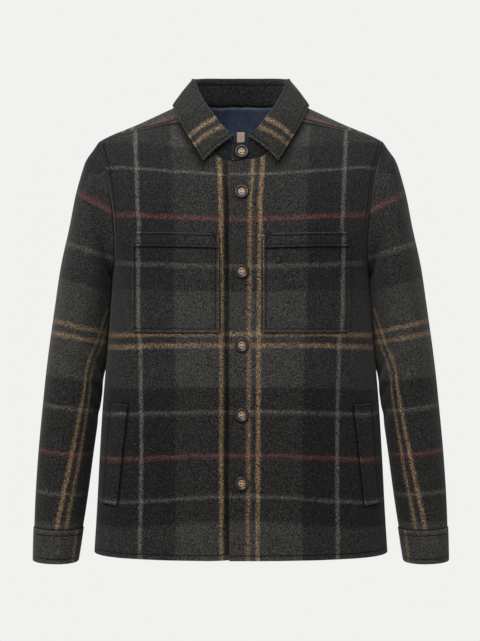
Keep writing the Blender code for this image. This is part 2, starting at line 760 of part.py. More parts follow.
def build_sleeves(group, wool, sleeve):
    points, normal, around, along = sleeve[:4]
    points = press_sleeve_folds(points, normal, around, along)
    points = trimmed(points, ("bottom",), SEAM_GAP * 0.6)
    cuff = np.array([ring_shape(ring, around) for ring in CUFF_RINGS])
    cuff_normal = grid_normals(cuff, True)
    centre = cuff.mean(axis=1, keepdims=True)
    cuff_normal *= np.sign(np.sum(cuff_normal * (cuff - centre)))
    cuff = cuff + np.array([0, 0, -SEAM_GAP * 2])
    for side, turn in (("left", lambda p: p), ("right", flipped)):
        mesh = wall("sleeve_" + side, turn(points), turn(normal), CLOTH, closed=True)
        place(mesh, "sleeve_" + side, group, wool)
        mesh = wall("cuff_" + side, turn(cuff), turn(cuff_normal), FACED_CLOTH, closed=True)
        place(mesh, "cuff_" + side, group, wool)


def halved(points):
    """The points with one more in the middle of each step."""
    found = np.repeat(points, 2, axis=0)[:-1]
    found[1::2] = (points[:-1] + points[1:]) / 2
    return found


def neck_half(front, back):
    """Points along the left half of the neck's edge, from the centre front to the centre back."""
    front_run = front[-1, 1 : NECK_COLUMNS + 1]
    corner = back.shape[1] // 2 + BACK_NECK_COLUMNS
    over_run = back[-OVER_ROWS - 1 :, corner][::-1]
    back_run = back[-OVER_ROWS - 1, back.shape[1] // 2 : corner + 1][::-1]
    return np.concatenate([halved(joined(front_run, over_run)), back_run[1:]])


def run_share(points):
    run = np.concatenate([[0], np.cumsum(np.linalg.norm(np.diff(points, axis=0), axis=1))])
    return run / run[-1]


def stand_grid(base_half):
    """Grid of points of the band round the neck, and the directions square to it."""
    top_half = spline([tuple(row) for row in STAND_TOP], run_share(base_half))
    base_half = base_half + unit(top_half - base_half) * STAND_LIFT
    base = np.concatenate([flipped(base_half), base_half[-2::-1]])
    top = np.concatenate([flipped(top_half), top_half[-2::-1]])
    tab = np.array([[STAND_TAB, 0.0, -0.0022]])
    drop = np.array([[STAND_TAB - 0.0010, 0.0, -0.0030]])
    mirror = np.array([[-1.0, 1.0, 1.0]])
    base = np.concatenate([base[:1] + tab, base, base[-1:] + tab * mirror])
    top = np.concatenate([top[:1] + drop, top, top[-1:] + drop * mirror])
    t = np.linspace(0, 1, STAND_ROWS + 1)[:, None, None]
    grid = (1 - t) * base[None] + t * top[None]
    normal = grid_normals(grid, False)
    centre = np.array([0, -0.015, 0])
    return grid, normal * np.sign(np.sum(normal * (grid - centre)))


def build_stand(group, wool, grid, normal):
    """The band round the neck. Its left end laps over its right end at the centre front."""
    inward = np.zeros(grid.shape[1])
    inward[: len(STAND_SINK)] = STAND_SINK
    grid = grid - normal * inward[None, :, None]
    place(wall("collar_stand", grid, normal, STAND_CLOTH), "collar_stand", group, wool)


def build_leaf(group, wool, stand, stand_normal):
    """The turned-down collar: up from the stand, over the roll line and down to its edge."""
    half = stand.shape[1] // 2
    top, out = stand[-1, half:-1][::-1].copy(), stand_normal[-1, half:-1][::-1].copy()
    start = (LEAF_START - top[0, 0]) / (top[1, 0] - top[0, 0])
    top[0] += (top[1] - top[0]) * start
    out[0] = unit(out[0] + (out[1] - out[0]) * start)
    share = run_share(top)
    edge = along_table(LEAF_EDGE)
    places = edge(np.interp(share, np.linspace(0, 1, 101), even(on_body(edge), 100)))
    lower = body_point(places[:, 0], places[:, 1]) + body_normal(places) * LEAF_LIFT
    roll = spline([tuple(row) for row in ROLL_LINE], share)
    tangent = np.gradient(roll, axis=0)
    away = unit(np.stack([-tangent[:, 1], tangent[:, 0], tangent[:, 0] * 0], axis=-1))
    away *= np.sign(np.sum(away * out, axis=1))[:, None]
    away[-1] = (0, 1, 0)
    up = np.array([0, 0, 1.0])
    foot = top - out * STAND_CLOTH + up * LAYER_GAP * 2
    centre = roll - up * LEAF_TURN
    rows = [foot]
    for angle in LEAF_TURN_ANGLES:
        turn = math.radians(angle)
        rows.append(centre + (up * math.sin(turn) - away * math.cos(turn)) * LEAF_TURN)
    fall = rows[-1]
    for share_down, bulge in LEAF_FALL:
        lift = (away * 0.8 + up * 0.6) * bulge
        rows.append(fall + (lower - fall) * share_down + lift)
    grid = np.array(rows)
    grid = np.concatenate([flipped(grid), grid[:, -2::-1]], axis=1)
    normal = grid_normals(grid, False)
    if np.sum(normal[-2] * (grid[-2] - np.array([0, -0.015, -0.05]))) < 0:
        normal = -normal
    normal[0] = -np.concatenate([flipped(out), out[-2::-1]])
    place(wall("collar_leaf", grid, normal, LEAF_CLOTH), "collar_leaf", group, wool)


def build_label(group, cotton, lining):
    """A plain scrap of tape on the lining, under the neck seam."""
    faces = [tuple(face.vertices) for face in lining.polygons]
    tree = BVHTree.FromPolygons([vertex.co.copy() for vertex in lining.vertices], faces)
    x, z = np.meshgrid(np.linspace(-1, 1, 3) * LABEL_WIDTH / 2, np.linspace(0, -LABEL_HEIGHT, 4))
    grid = np.zeros((4, 3, 3))
    for i, j in np.ndindex(4, 3):
        start = Vector((x[i, j], 0.0, LABEL_TOP + z[i, j]))
        grid[i, j] = tree.ray_cast(start, Vector((0, 1, 0)))[0]
    normal = np.zeros_like(grid) + np.array([0, -1.0, 0])
    grid = grid + normal * (LABEL_CLOTH + LAYER_GAP)
    place(wall("neck_label", grid, normal, LABEL_CLOTH), "neck_label", group, cotton)


def patch_grid(corners, columns, rows, lift, right):
    """Grid of points on a front, moved out: corners are (x, z) near and far, bottom and top."""
    s = np.linspace(0, 1, columns + 1)[None, :, None]
    t = np.linspace(0, 1, rows + 1)[:, None, None]
    bottom, top = np.array(corners[0]), np.array(corners[1])
    flat = (1 - t) * ((1 - s) * bottom[0] + s * bottom[1]) + t * ((1 - s) * top[0] + s * top[1])
    places = body_place(flat[..., 0], flat[..., 1], True)
    points = body_point(places[..., 0], places[..., 1])
    normal = body_normal(places)
    if right:
        points, normal = flipped(points), flipped(normal)
        points = points - normal * underlap(points)[..., None]
    return points + normal * lift, normal


def build_pockets(group, wool):
    pocket = CHEST_POCKET
    top_near = pocket.z_top - pocket.near_drop
    lift = LAYER_GAP + POCKET_CLOTH
    body = [
        [(pocket.x_near, pocket.z_bottom), (pocket.x_far, pocket.z_bottom)],
        [(pocket.x_near, top_near - 0.0010), (pocket.x_far, pocket.z_top - 0.0010)],
    ]
    low_near = top_near - POCKET_BAND_HEIGHT
    low_far = pocket.z_top - POCKET_BAND_HEIGHT
    band = [
        [(pocket.x_near + 0.0015, low_near), (pocket.x_far - 0.0025, low_far)],
        [
            (pocket.x_near + POCKET_BAND_INSET, top_near + 0.0005),
            (pocket.x_far - 0.0065, pocket.z_top + 0.0005),
        ],
    ]
    upper, lower = SIDE_WELT
    strip = [
        [(lower.x_near, lower.z), (lower.x_far, lower.z + 0.0015)],
        [(upper.x_near, upper.z), (upper.x_far, upper.z + 0.0010)],
    ]
    for side, right in (("left", False), ("right", True)):
        grid, normal = patch_grid(body, 9, 8, lift, right)
        place(wall("pocket_" + side, grid, normal, POCKET_CLOTH), "pocket_" + side, group, wool)
        grid, normal = patch_grid(band, 9, 1, lift * 2, right)
        name = "pocket_band_" + side
        place(wall(name, grid, normal, POCKET_CLOTH), name, group, wool)
        grid, normal = patch_grid(strip, 3, 9, lift, right)
        name = "welt_" + side
        place(wall(name, grid, normal, POCKET_CLOTH), name, group, wool)


def build_lining(group, satin, back):
    """The lining across the upper back, which shows through the neck."""
    points, normal = back
    faces = []
    for deep in (CLOTH + LINING_GAP, CLOTH + LINING_GAP + LINING_CLOTH):
        face = (points - normal * deep)[-OVER_ROWS - LINING_ROWS : -OVER_ROWS, 3:-3]
        faces.append(trimmed(face, ("left", "right", "top"), LINING_INSET))
    points, normal = faces[0], (faces[0] - faces[1]) / LINING_CLOTH
    mesh = wall("back_lining", points, normal, LINING_CLOTH)
    place(mesh, "back_lining", group, satin)
    return mesh


def button_mesh(group):
    """A turned four-hole button, 0 at its underside, facing +Z."""
    r, h = BUTTON_RADIUS, BUTTON_THICK
    outline = [(0.0, h * 0.62), (r * 0.52, h * 0.62), (r * 0.68, h * 0.86), (r * 0.84, h)]
    outline += [(r * 0.97, h * 0.86), (r, h * 0.55), (r * 0.80, 0.0), (0.0, 0.0)]
    mesh = bpy.data.meshes.new("button_profile")
    links = [(i, i + 1) for i in range(len(outline) - 1)]
    mesh.from_pydata([(x, 0.0, z) for x, z in outline], links, [])
    turned = bpy.data.objects.new("button_turned", mesh)
    group.objects.link(turned)
    screw = turned.modifiers.new("turn", "SCREW")
    screw.steps = screw.render_steps = BUTTON_SIDES
    screw.use_merge_vertices = True
    screw.merge_threshold = 0.00005
    for i, (sx, sy) in enumerate(((1, 1), (1, -1), (-1, 1), (-1, -1))):
        drill_mesh = bpy.data.meshes.new("drill")
        shape = bmesh.new()
        spot = Matrix.Translation((sx * BUTTON_HOLE_SPACING, sy * BUTTON_HOLE_SPACING, h / 2))
        bmesh.ops.create_cone(
            shape, cap_ends=True, segments=8, radius1=BUTTON_HOLE_RADIUS,
            radius2=BUTTON_HOLE_RADIUS, depth=h * 3, matrix=spot,
        )
        shape.to_mesh(drill_mesh)
        shape.free()
        drill = bpy.data.objects.new(f"drill_{i}", drill_mesh)
        group.objects.link(drill)
        drill.hide_render = True
        drill.display_type = "WIRE"
        cut = turned.modifiers.new(f"hole_{i}", "BOOLEAN")
        cut.operation = "DIFFERENCE"
        cut.object = drill
    bpy.context.view_layer.update()
    seen = turned.evaluated_get(bpy.context.evaluated_depsgraph_get())
    made = bpy.data.meshes.new_from_object(seen)
    made.name = "button"
    bpy.data.objects.remove(turned)
    made.shade_smooth()
    made.set_sharp_from_angle(angle=math.radians(35))
    return made


def facing_matrix(point, normal):
    """A place at point whose Z runs along normal and whose Y runs up the garment."""
    z = Vector(normal).normalized()
    x = Vector((0, 0, 1)).cross(z).normalized()
    matrix = Matrix((x, z.cross(x), z)).transposed().to_4x4()
    matrix.translation = Vector(point)
    return matrix


def build_buttons(group, cutters, horn):
    mesh = button_mesh(cutters)
    mesh.materials.clear()
    gap = 0.0006
    spots = [(np.array([0.0012, -0.0928, -0.0915]), np.array([0.0, -0.980, 0.200]))]
    for z in BUTTON_HEIGHTS:
        here = body_place(0.0012, z, True)[None]
        spots.append((body_point(here[:, 0], here[:, 1])[0], body_normal(here)[0]))
    for i, (point, normal) in enumerate(spots):
        matrix = facing_matrix(point + normal * gap, normal)
        place(mesh, f"button_{i + 1}", group, horn, matrix)


def main():
    for found in list(bpy.data.objects):
        bpy.data.objects.remove(found)
    group = collection("shacket")
    cutters = collection("cutters", hidden=True)
    wool = material("wool_plaid", CHARCOAL, 0.95)
    satin = material("lining", NAVY, 0.60)
    cotton = material("label_tape", TAPE, 0.85)
    horn = material("horn_button", HORN, 0.35)
    sleeve = build_body(group, wool)
    build_sleeves(group, wool, sleeve)
    stand, stand_normal = stand_grid(neck_half(sleeve[4], sleeve[5][0]))
    build_stand(group, wool, stand, stand_normal)
    build_leaf(group, wool, stand, stand_normal)
    build_pockets(group, wool)
    build_label(group, cotton, build_lining(group, satin, sleeve[5]))
    build_buttons(group, cutters, horn)


main()
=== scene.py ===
"""The shirt jacket's looks: brushed plaid wool, navy lining and horn buttons on its CAD frame."""
import math
from collections import namedtuple

import bpy
import numpy as np
from mathutils import Matrix, Vector


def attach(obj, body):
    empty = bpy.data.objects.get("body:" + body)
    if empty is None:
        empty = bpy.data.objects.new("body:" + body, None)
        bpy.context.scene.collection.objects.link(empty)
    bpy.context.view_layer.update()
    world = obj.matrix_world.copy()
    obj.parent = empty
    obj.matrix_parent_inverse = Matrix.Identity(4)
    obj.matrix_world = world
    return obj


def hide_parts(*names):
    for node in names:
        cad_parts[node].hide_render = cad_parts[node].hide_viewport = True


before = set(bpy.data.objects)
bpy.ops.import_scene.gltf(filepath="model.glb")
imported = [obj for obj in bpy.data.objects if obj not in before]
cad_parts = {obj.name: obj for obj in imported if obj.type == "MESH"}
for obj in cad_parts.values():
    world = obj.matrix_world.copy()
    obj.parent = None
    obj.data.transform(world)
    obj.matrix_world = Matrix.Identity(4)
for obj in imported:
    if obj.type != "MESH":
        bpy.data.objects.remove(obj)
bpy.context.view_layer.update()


def table(columns, *rows):
    """Rows with named columns. Lengths are in metres and angles in degrees."""
    row = namedtuple("Row", columns)
    return tuple(row(*values) for values in rows)


# Thickness of the cloth, and the gaps at seams and between layers
CLOTH = 0.0022
FACED_CLOTH = 0.0030
LINING_CLOTH = 0.0010
STAND_CLOTH = 0.0026
LEAF_CLOTH = 0.0026
POCKET_CLOTH = 0.0018
LABEL_CLOTH = 0.0006
SEAM_GAP = 0.0003
LAYER_GAP = 0.0005

# Body form
BODY_ROUNDNESS = 2.4
WIDTH_GUESS = 0.22
WIDTH_STEPS = 12
CHEST_LEVEL = -0.240
RIDGE_ROUND = 0.015
RIDGE_CREST = 0.006
FRONT_SLOPE = (2.0, 0.87)
BACK_SLOPE = (2.4, 0.50)
HEM_FRONT = -0.717
HEM_SIDE = -0.7185
HEM_HALF_WIDTH = 0.2337
HEM_REACH = 0.234
HEM_SPLIT = 0.080
ARMPIT_LEVEL = -0.280
FRONT_MIDDLE = -0.300
BACK_MIDDLE = -0.290
OVERLAP = 0.0175
NECK_CORNER_DROP = 0.0012
UNDERLAP_DROP = 0.0030
UNDERLAP_START = 0.052
UNDERLAP_FLAT = 0.008

# Mesh counts
NECK_COLUMNS = 21
SHOULDER_COLUMNS = 33
SIDE_ROWS = 74
ARMHOLE_ROWS = 48
BACK_NECK_COLUMNS = 22
OVER_ROWS = 7
SLEEVE_ROWS = 130
STAND_ROWS = 10
LEAF_COLUMNS = 110

BODY_RINGS = table(
    "z half_width front_depth back_depth",
    (-0.760, 0.2365, 0.1150, 0.1060),
    (-0.717, 0.2337, 0.1160, 0.1060),
    (-0.646, 0.2293, 0.1180, 0.1050),
    (-0.568, 0.2253, 0.1190, 0.1020),
    (-0.486, 0.2203, 0.1200, 0.1000),
    (-0.395, 0.2127, 0.1220, 0.1020),
    (-0.318, 0.2070, 0.1250, 0.1080),
    (-0.280, 0.2045, 0.1260, 0.1110),
    (-0.240, 0.2130, 0.1265, 0.1130),
    (-0.200, 0.2190, 0.1265, 0.1150),
    (-0.150, 0.2260, 0.1255, 0.1170),
    (-0.100, 0.2370, 0.1220, 0.1180),
    (-0.060, 0.2520, 0.1200, 0.1180),
    (0.040, 0.3000, 0.1200, 0.1180),
)

# The top of the shoulder, from the neck outwards
SHOULDER_RIDGE = table(
    "x z",
    (0.000, 0.0300), (0.040, 0.0195), (0.060, 0.0105), (0.0775, 0.0025), (0.1075, -0.0107),
    (0.165, -0.0374), (0.211, -0.0565), (0.2275, -0.0655), (0.260, -0.0900),
)

# below: how far under the shoulder's ridge a point lies along the cloth, in front where positive
NECKLINE = table(
    "x below",
    (0.0000, 0.1490), (0.0210, 0.1420), (0.0410, 0.1260), (0.0580, 0.1030), (0.0700, 0.0760),
    (0.0770, 0.0450), (0.0785, 0.0000), (0.0745, -0.0110), (0.0620, -0.0210), (0.0380, -0.0330),
    (0.0000, -0.0424),
)
SEAM_ON_NECKLINE = 5
RIDGE_ON_NECKLINE = 6
SHOULDER_SEAM = table(
    "x below",
    (0.0770, 0.0450), (0.1010, 0.0390), (0.1590, 0.0215), (0.2000, 0.0100), (0.2272, 0.0040),
)
LEAF_EDGE = table(
    "x below",
    (0.0575, 0.1330), (0.0780, 0.0880), (0.0955, 0.0480), (0.1055, 0.0170), (0.1080, 0.0000),
    (0.1040, -0.0125), (0.0880, -0.0240), (0.0580, -0.0390), (0.0300, -0.0520), (0.0000, -0.0570),
)
FRONT_ARMHOLE = table(
    "x z",
    (0.2045, -0.2800), (0.2010, -0.2730), (0.1978, -0.2560), (0.1966, -0.2280), (0.2005, -0.1770),
    (0.2068, -0.1387), (0.2165, -0.1000), (0.2240, -0.0770), (0.2275, -0.0655),
)
BACK_ARMHOLE = table(
    "x z",
    (0.2045, -0.2800), (0.2012, -0.2710), (0.1990, -0.2500), (0.1992, -0.2150), (0.2030, -0.1650),
    (0.2095, -0.1250), (0.2185, -0.0900), (0.2250, -0.0730), (0.2275, -0.0655),
)

# Rings of the sleeve: the point furthest from the body, the one nearest it, and the depth
RING_COLUMNS = "outer_x outer_z inner_x inner_z half_depth y"
SLEEVE_RINGS = table(
    RING_COLUMNS,
    (0.2412, -0.0865, 0.2066, -0.2845, 0.0650, 0.000),
    (0.2522, -0.1105, 0.2074, -0.2885, 0.0690, 0.000),
    (0.2626, -0.1475, 0.2072, -0.2945, 0.0730, 0.001),
    (0.2732, -0.2005, 0.2073, -0.3055, 0.0765, 0.003),
    (0.2855, -0.2545, 0.2086, -0.3260, 0.0775, 0.005),
    (0.2957, -0.3185, 0.2108, -0.3560, 0.0755, 0.006),
    (0.3032, -0.3700, 0.2140, -0.3960, 0.0710, 0.006),
    (0.3127, -0.4465, 0.2206, -0.4600, 0.0640, 0.004),
    (0.3176, -0.5000, 0.2278, -0.5060, 0.0590, 0.000),
    (0.3214, -0.5450, 0.2338, -0.5490, 0.0550, -0.004),
    (0.3250, -0.6000, 0.2405, -0.6030, 0.0510, -0.009),
    (0.3272, -0.6500, 0.2470, -0.6520, 0.0475, -0.013),
    (0.3278, -0.6760, 0.2512, -0.6790, 0.0458, -0.015),
)
CUFF_RINGS = table(
    RING_COLUMNS,
    (0.3291, -0.6765, 0.2499, -0.6795, 0.0472, -0.015),
    (0.3295, -0.6930, 0.2522, -0.6955, 0.0462, -0.016),
    (0.3298, -0.7110, 0.2549, -0.7140, 0.0453, -0.017),
    (0.3300, -0.7288, 0.2578, -0.7315, 0.0444, -0.018),
)
SLEEVE_ROUNDNESS = 2.15

# Soft folds: where they lie along and around the sleeve (0 outside, 0.25 front, 0.5 underarm)
SLEEVE_FOLDS = table(
    "along around length width depth",
    (0.40, 0.42, 0.13, 0.030, 0.0050),
    (0.49, 0.37, 0.12, 0.028, 0.0035),
    (0.44, 0.62, 0.10, 0.026, 0.0035),
    (0.56, 0.45, 0.10, 0.026, 0.0030),
    (0.30, 0.56, 0.10, 0.030, 0.0030),
    (0.90, 0.35, 0.09, 0.030, 0.0020),
)

# Soft drape folds down the body, on the front where side is -1 and on the back where it is 1
BODY_FOLDS = table(
    "x z side half_width half_length lean depth",
    (0.150, -0.640, -1, 0.026, 0.110, -0.06, 0.0020),
    (0.120, -0.230, 1, 0.032, 0.080, 0.20, 0.0030),
    (0.095, -0.560, 1, 0.030, 0.140, 0.05, 0.0035),
    (0.030, -0.400, 1, 0.028, 0.120, 0.00, 0.0025),
)

# Neck and collar, from the centre front to the centre back
STAND_TOP = table(
    "x y z",
    (0.0000, -0.0890, -0.0765),
    (0.0130, -0.0870, -0.0722),
    (0.0270, -0.0830, -0.0615),
    (0.0410, -0.0735, -0.0425),
    (0.0560, -0.0560, -0.0200),
    (0.0672, -0.0335, 0.0020),
    (0.0735, -0.0040, 0.0235),
    (0.0715, 0.0210, 0.0285),
    (0.0595, 0.0400, 0.0315),
    (0.0350, 0.0505, 0.0330),
    (0.0000, 0.0535, 0.0330),
)
ROLL_LINE = table(
    "x y z",
    (0.0105, -0.0900, -0.0640),
    (0.0270, -0.0840, -0.0515),
    (0.0410, -0.0745, -0.0325),
    (0.0560, -0.0570, -0.0105),
    (0.0680, -0.0330, 0.0130),
    (0.0758, -0.0030, 0.0350),
    (0.0745, 0.0230, 0.0395),
    (0.0615, 0.0430, 0.0435),
    (0.0360, 0.0545, 0.0455),
    (0.0000, 0.0575, 0.0460),
)
STAND_TAB = (0.0145, 0.0, -0.0022)
STAND_TOP_TAB = (0.0135, 0.0, -0.0030)
STAND_LIFT = 0.0010
STAND_STITCH = 0.0050
# The band's warp and weft sit on the plaid's dark crossing, as painted shade for the shade under the
# collar leaf
STAND_WARP = -0.080
STAND_WEFT = -0.247
SINK = table(
    "x depth",
    (-0.055, 0.0), (-0.045, 0.0006), (-0.032, 0.0018), (-0.0165, 0.0040), (0.0, 0.0046), (0.0145, 0.0048),
)
LEAF_START = 0.0105
LEAF_LIFT = 0.0046
LEAF_TURN = 0.0033
LEAF_TURN_STEPS = 13
LEAF_FALL_STEPS = 21
LEAF_FALL = table("down bulge", (0.0, 0.0), (0.20, 0.0022), (0.45, 0.0034), (0.72, 0.0024), (1.0, 0.0))
LEAF_WARP = 0.016
LEAF_WARP_AT = 0.0235
LEAF_WARP_END = 0.098
# The leaf's weft lies on the plaid's dark band, as painted shade that tones down the leaf where it faces
# up
LEAF_WEFT = -0.2590
LEAF_WEFT_RUN = 0.055
LEAF_EDGE_SHIFT = 0.012
LEAF_STRETCH = 0.80
LEAF_BULGE_AWAY = 0.8
LEAF_BULGE_UP = 0.6

# Pockets on the fronts: left and right edges measured from the centre front
POCKET_NEAR = 0.0330
POCKET_FAR = 0.1650
POCKET_TOP = -0.2160
POCKET_NEAR_TOP = -0.2200
POCKET_BOTTOM = -0.3690
BAND_HEIGHT = 0.0210
BAND_LOW_INSETS = (0.0015, 0.0025)
BAND_TOP_INSETS = (0.0110, 0.0065)
BAND_RISE = 0.0005
POCKET_TUCK = 0.0010
WELT_TOP = table("x z", (0.1735, -0.4805), (0.1990, -0.4795))
WELT_BOTTOM = table("x z", (0.1905, -0.6375), (0.2125, -0.6360))
WELT_OVERHANG = 0.0022
PATCH_LIFT = 0.0010
PATCH_PUFF = 0.0016
PATCH_DENT = 0.0010
PATCH_DENT_WIDTH = 0.22
WELT_FALL = 0.4

# Lining and label
LINING_GAP = 0.0010
LINING_INSET = 0.0012
LINING_DEPTH = 0.367
LABEL_WIDTH = 0.0130
LABEL_HEIGHT = 0.0160
LABEL_TOP = -0.0400

# Buttons: their outlines are shares of the radius and the thickness
BUTTON_RADIUS = 0.0105
BUTTON_THICK = 0.0036
HOLE_OFFSET = 0.0017
BUTTON_X = 0.0012
BUTTON_LIFT = 0.0006
NECK_BUTTON = ((0.0012, -0.0928, -0.0915), (0.0, -0.980, 0.200))
BUTTON_HEIGHTS = (-0.1550, -0.2760, -0.3880, -0.4940, -0.5980)
BUTTON_TURNS = (7, -5, 3, -9, 4, -3)
BUTTON_RIM = table(
    "out up",
    (0, 0.30), (0.46, 0.30), (0.50, 0.56), (0.60, 0.66), (0.74, 0.88), (0.84, 1), (0.93, 0.94),
    (0.985, 0.78), (1, 0.52), (0.97, 0.28), (0.80, 0.06), (0.60, 0), (0, 0),
)
BUTTON_FACE = table(
    "out up",
    (0, 0.50), (0.36, 0.52), (0.47, 0.57), (0.50, 0.50), (0.50, 0.30), (0, 0.30),
)
# Each hole is a thin disc of near-black finish, whose darkness is painted shade
BUTTON_HOLE = table(
    "out up",
    (0, 0.545), (0.0012 / BUTTON_RADIUS, 0.545), (0.0013 / BUTTON_RADIUS, 0.53), (0, 0.50),
)
SHANK_TOP = 0.0002 / BUTTON_THICK
BUTTON_SHANK = table(
    "out up",
    (0, SHANK_TOP), (0.0016 / BUTTON_RADIUS, SHANK_TOP), (0.0018 / BUTTON_RADIUS, -0.25), (0, -0.25),
)
THREAD_RADIUS = 0.00032
THREAD_RISE = 0.0005
THREAD_DIP = 0.0006
THREAD_SPREAD = 0.00035
THREAD_INSET = 0.72
THREAD_LEVEL = 0.52
THREAD_END = 0.46

# Plaid: where the stripes lie, in metres of cloth. The warp is measured from the front edge
WARP_BANDS = table(
    "start yarn",
    (-0.400, "mid"), (-0.106, "dark"), (-0.054, "light"), (0.099, "dark"), (0.151, "mid"),
)
WARP_STRIPES = table(
    "at width yarn",
    (0.0154, 0.0056, "tan"), (0.0292, 0.0056, "tan"), (0.1550, 0.0055, "pale"),
)
WEFT_BANDS = table(
    "start yarn",
    (-0.800, "light"), (-0.659, "night"), (-0.4533, "light"), (-0.3066, "dark"), (-0.0834, "light"),
)
WEFT_STRIPES = table(
    "at width yarn",
    (-0.6197, 0.0040, "pale"),
    (-0.5577, 0.0062, "red"),
    (-0.4919, 0.0040, "pale"),
    (-0.3898, 0.0066, "tan"),
    (-0.3731, 0.0066, "tan"),
    (-0.2672, 0.0040, "pale"),
    (-0.1946, 0.0060, "red"),
    (-0.1250, 0.0040, "pale"),
    (0.0564, 0.0060, "red"),
)
WARP_SPAN = (-0.400, 0.400)
WEFT_SPAN = (-0.800, 0.100)
YARNS = {
    "light": (0.0380, 0.0368, 0.0340),
    "mid": (0.0145, 0.0143, 0.0150),
    "dark": (0.0108, 0.0106, 0.0112),
    "night": (0.0048, 0.0046, 0.0050),
    "pale": (0.1180, 0.1100, 0.0975),
    "tan": (0.2600, 0.1720, 0.0960),
    "red": (0.1500, 0.0420, 0.0400),
}
PAIR_CENTRE = 0.0223
PALE_AT = 0.1550

# Where the lines that cross a front lie: the weft's by height, at four widths from the centre
FRONT_WIDTHS = (0.0, 0.069, 0.115, 0.187)
FRONT_WEFTS = table(
    "weft centre_z near_z middle_z side_z",
    (-0.8000, -0.8000, -0.8030, -0.8090, -0.8160),
    (-0.6590, -0.6560, -0.6590, -0.6645, -0.6720),
    (-0.6197, -0.6173, -0.6197, -0.6246, -0.6314),
    (-0.5577, -0.5553, -0.5563, -0.5593, -0.5655),
    (-0.4919, -0.4900, -0.4908, -0.4928, -0.4964),
    (-0.3898, -0.3883, -0.3881, -0.3884, -0.3917),
    (-0.3731, -0.3721, -0.3723, -0.3719, -0.3740),
    (-0.2672, -0.2691, -0.2680, -0.2661, -0.2618),
    (-0.1946, -0.1986, -0.1956, -0.1928, -0.1878),
    (-0.1250, -0.1276, -0.1240, -0.1200, -0.1109),
    (-0.0834, -0.0860, -0.0820, -0.0770, -0.0670),
    (0.1000, 0.1000, 0.1040, 0.1100, 0.1200),
)

# The warp's lines by height: the tan pair's middle and the pale line, on each front
FRONT_WARPS = table(
    "z right_pair right_pale left_pair left_pale",
    (-0.692, 0.0222, 0.1555, 0.0177, 0.1492),
    (-0.593, 0.0223, 0.1542, 0.0185, 0.1487),
    (-0.517, 0.0225, 0.1534, 0.0189, 0.1482),
    (-0.419, 0.0222, 0.1545, 0.0192, 0.1504),
    (-0.350, 0.0218, 0.1552, 0.0197, 0.1525),
    (-0.282, 0.0218, 0.1560, 0.0204, 0.1542),
    (-0.207, 0.0224, 0.1570, 0.0218, 0.1560),
    (-0.176, 0.0228, 0.1590, 0.0215, 0.1574),
    (-0.145, 0.0240, 0.1608, 0.0234, 0.1594),
    (-0.110, 0.0255, 0.1632, 0.0256, 0.1618),
    (-0.040, 0.0290, 0.1690, 0.0290, 0.1680),
)
POCKET_DRIFT = {"left": 0.0014, "right": 0.0003}
BAND_DRIFT = {"left": -0.0012, "right": -0.0028}

# The plaid on the back: the pair's place, its lean to the shoulder, and the run over the top
BACK_PAIR_AT = 0.166
SHOULDER_LEAN = 0.11
LEAN_FROM = -0.21
LEAN_RUN = 0.17
BACK_LEVEL = -0.15
OVER_LEVEL = -0.12
OVER_RUN = 0.06
OVER_SLOPE = 0.70
OVER_FROM = 0.130

# Where the plaid's lines cross the sleeve, by height on its outer and its inner side
SLEEVE_STATIONS = table(
    "weft outer_z inner_z",
    (-0.8000, -0.8080, -0.8080),
    (-0.6590, -0.6669, -0.6672),
    (-0.6197, -0.6176, -0.6233),
    (-0.5577, -0.5536, -0.5621),
    (-0.4919, -0.4832, -0.4955),
    (-0.4533, -0.4374, -0.4461),
    (-0.3898, -0.3685, -0.3846),
    (-0.3731, -0.3494, -0.3703),
    (-0.3066, -0.2843, -0.3065),
    (-0.2672, -0.2272, -0.2541),
    (-0.1946, -0.1472, -0.1826),
    (-0.1370, -0.0600, -0.0900),
)

# The tan pair down the sleeve, and the warp at a distance round the sleeve from it
SLEEVE_PAIR = table(
    "z x",
    (-0.7200, 0.2880), (-0.6712, 0.2789), (-0.6243, 0.2700), (-0.5773, 0.2604), (-0.5304, 0.2520),
    (-0.4834, 0.2438), (-0.4600, 0.2403), (-0.4365, 0.2383), (-0.4130, 0.2328), (-0.3895, 0.2240),
    (-0.3661, 0.2168), (-0.3426, 0.2105), (-0.3000, 0.2000), (-0.2700, 0.1900), (-0.0500, 0.1600),
)
SLEEVE_RUN = table("away warp", (-0.400, -0.400), (0.012, 0.012), (0.200, 0.070), (0.290, 0.125))
SLEEVE_WARP_SPAN = (-0.300, 0.147)
PAIR_FROM = 0.004
PAIR_UP_TO = 0.92
PAIR_BEYOND = 0.02
SLEEVE_REST = 0.0006
REST_START = 0.006
REST_END = -0.45
REST_FADE = 0.05
REST_REACH = 0.007
CUFF_STRIPE_ANGLE = 140
CUFF_RADIUS = 0.041
CUFF_WARP_END = -0.050
CUFF_STRIPE_RUN = 0.004
CUFF_STRIPE_STEEP = 11
CUFF_ROWS = 15

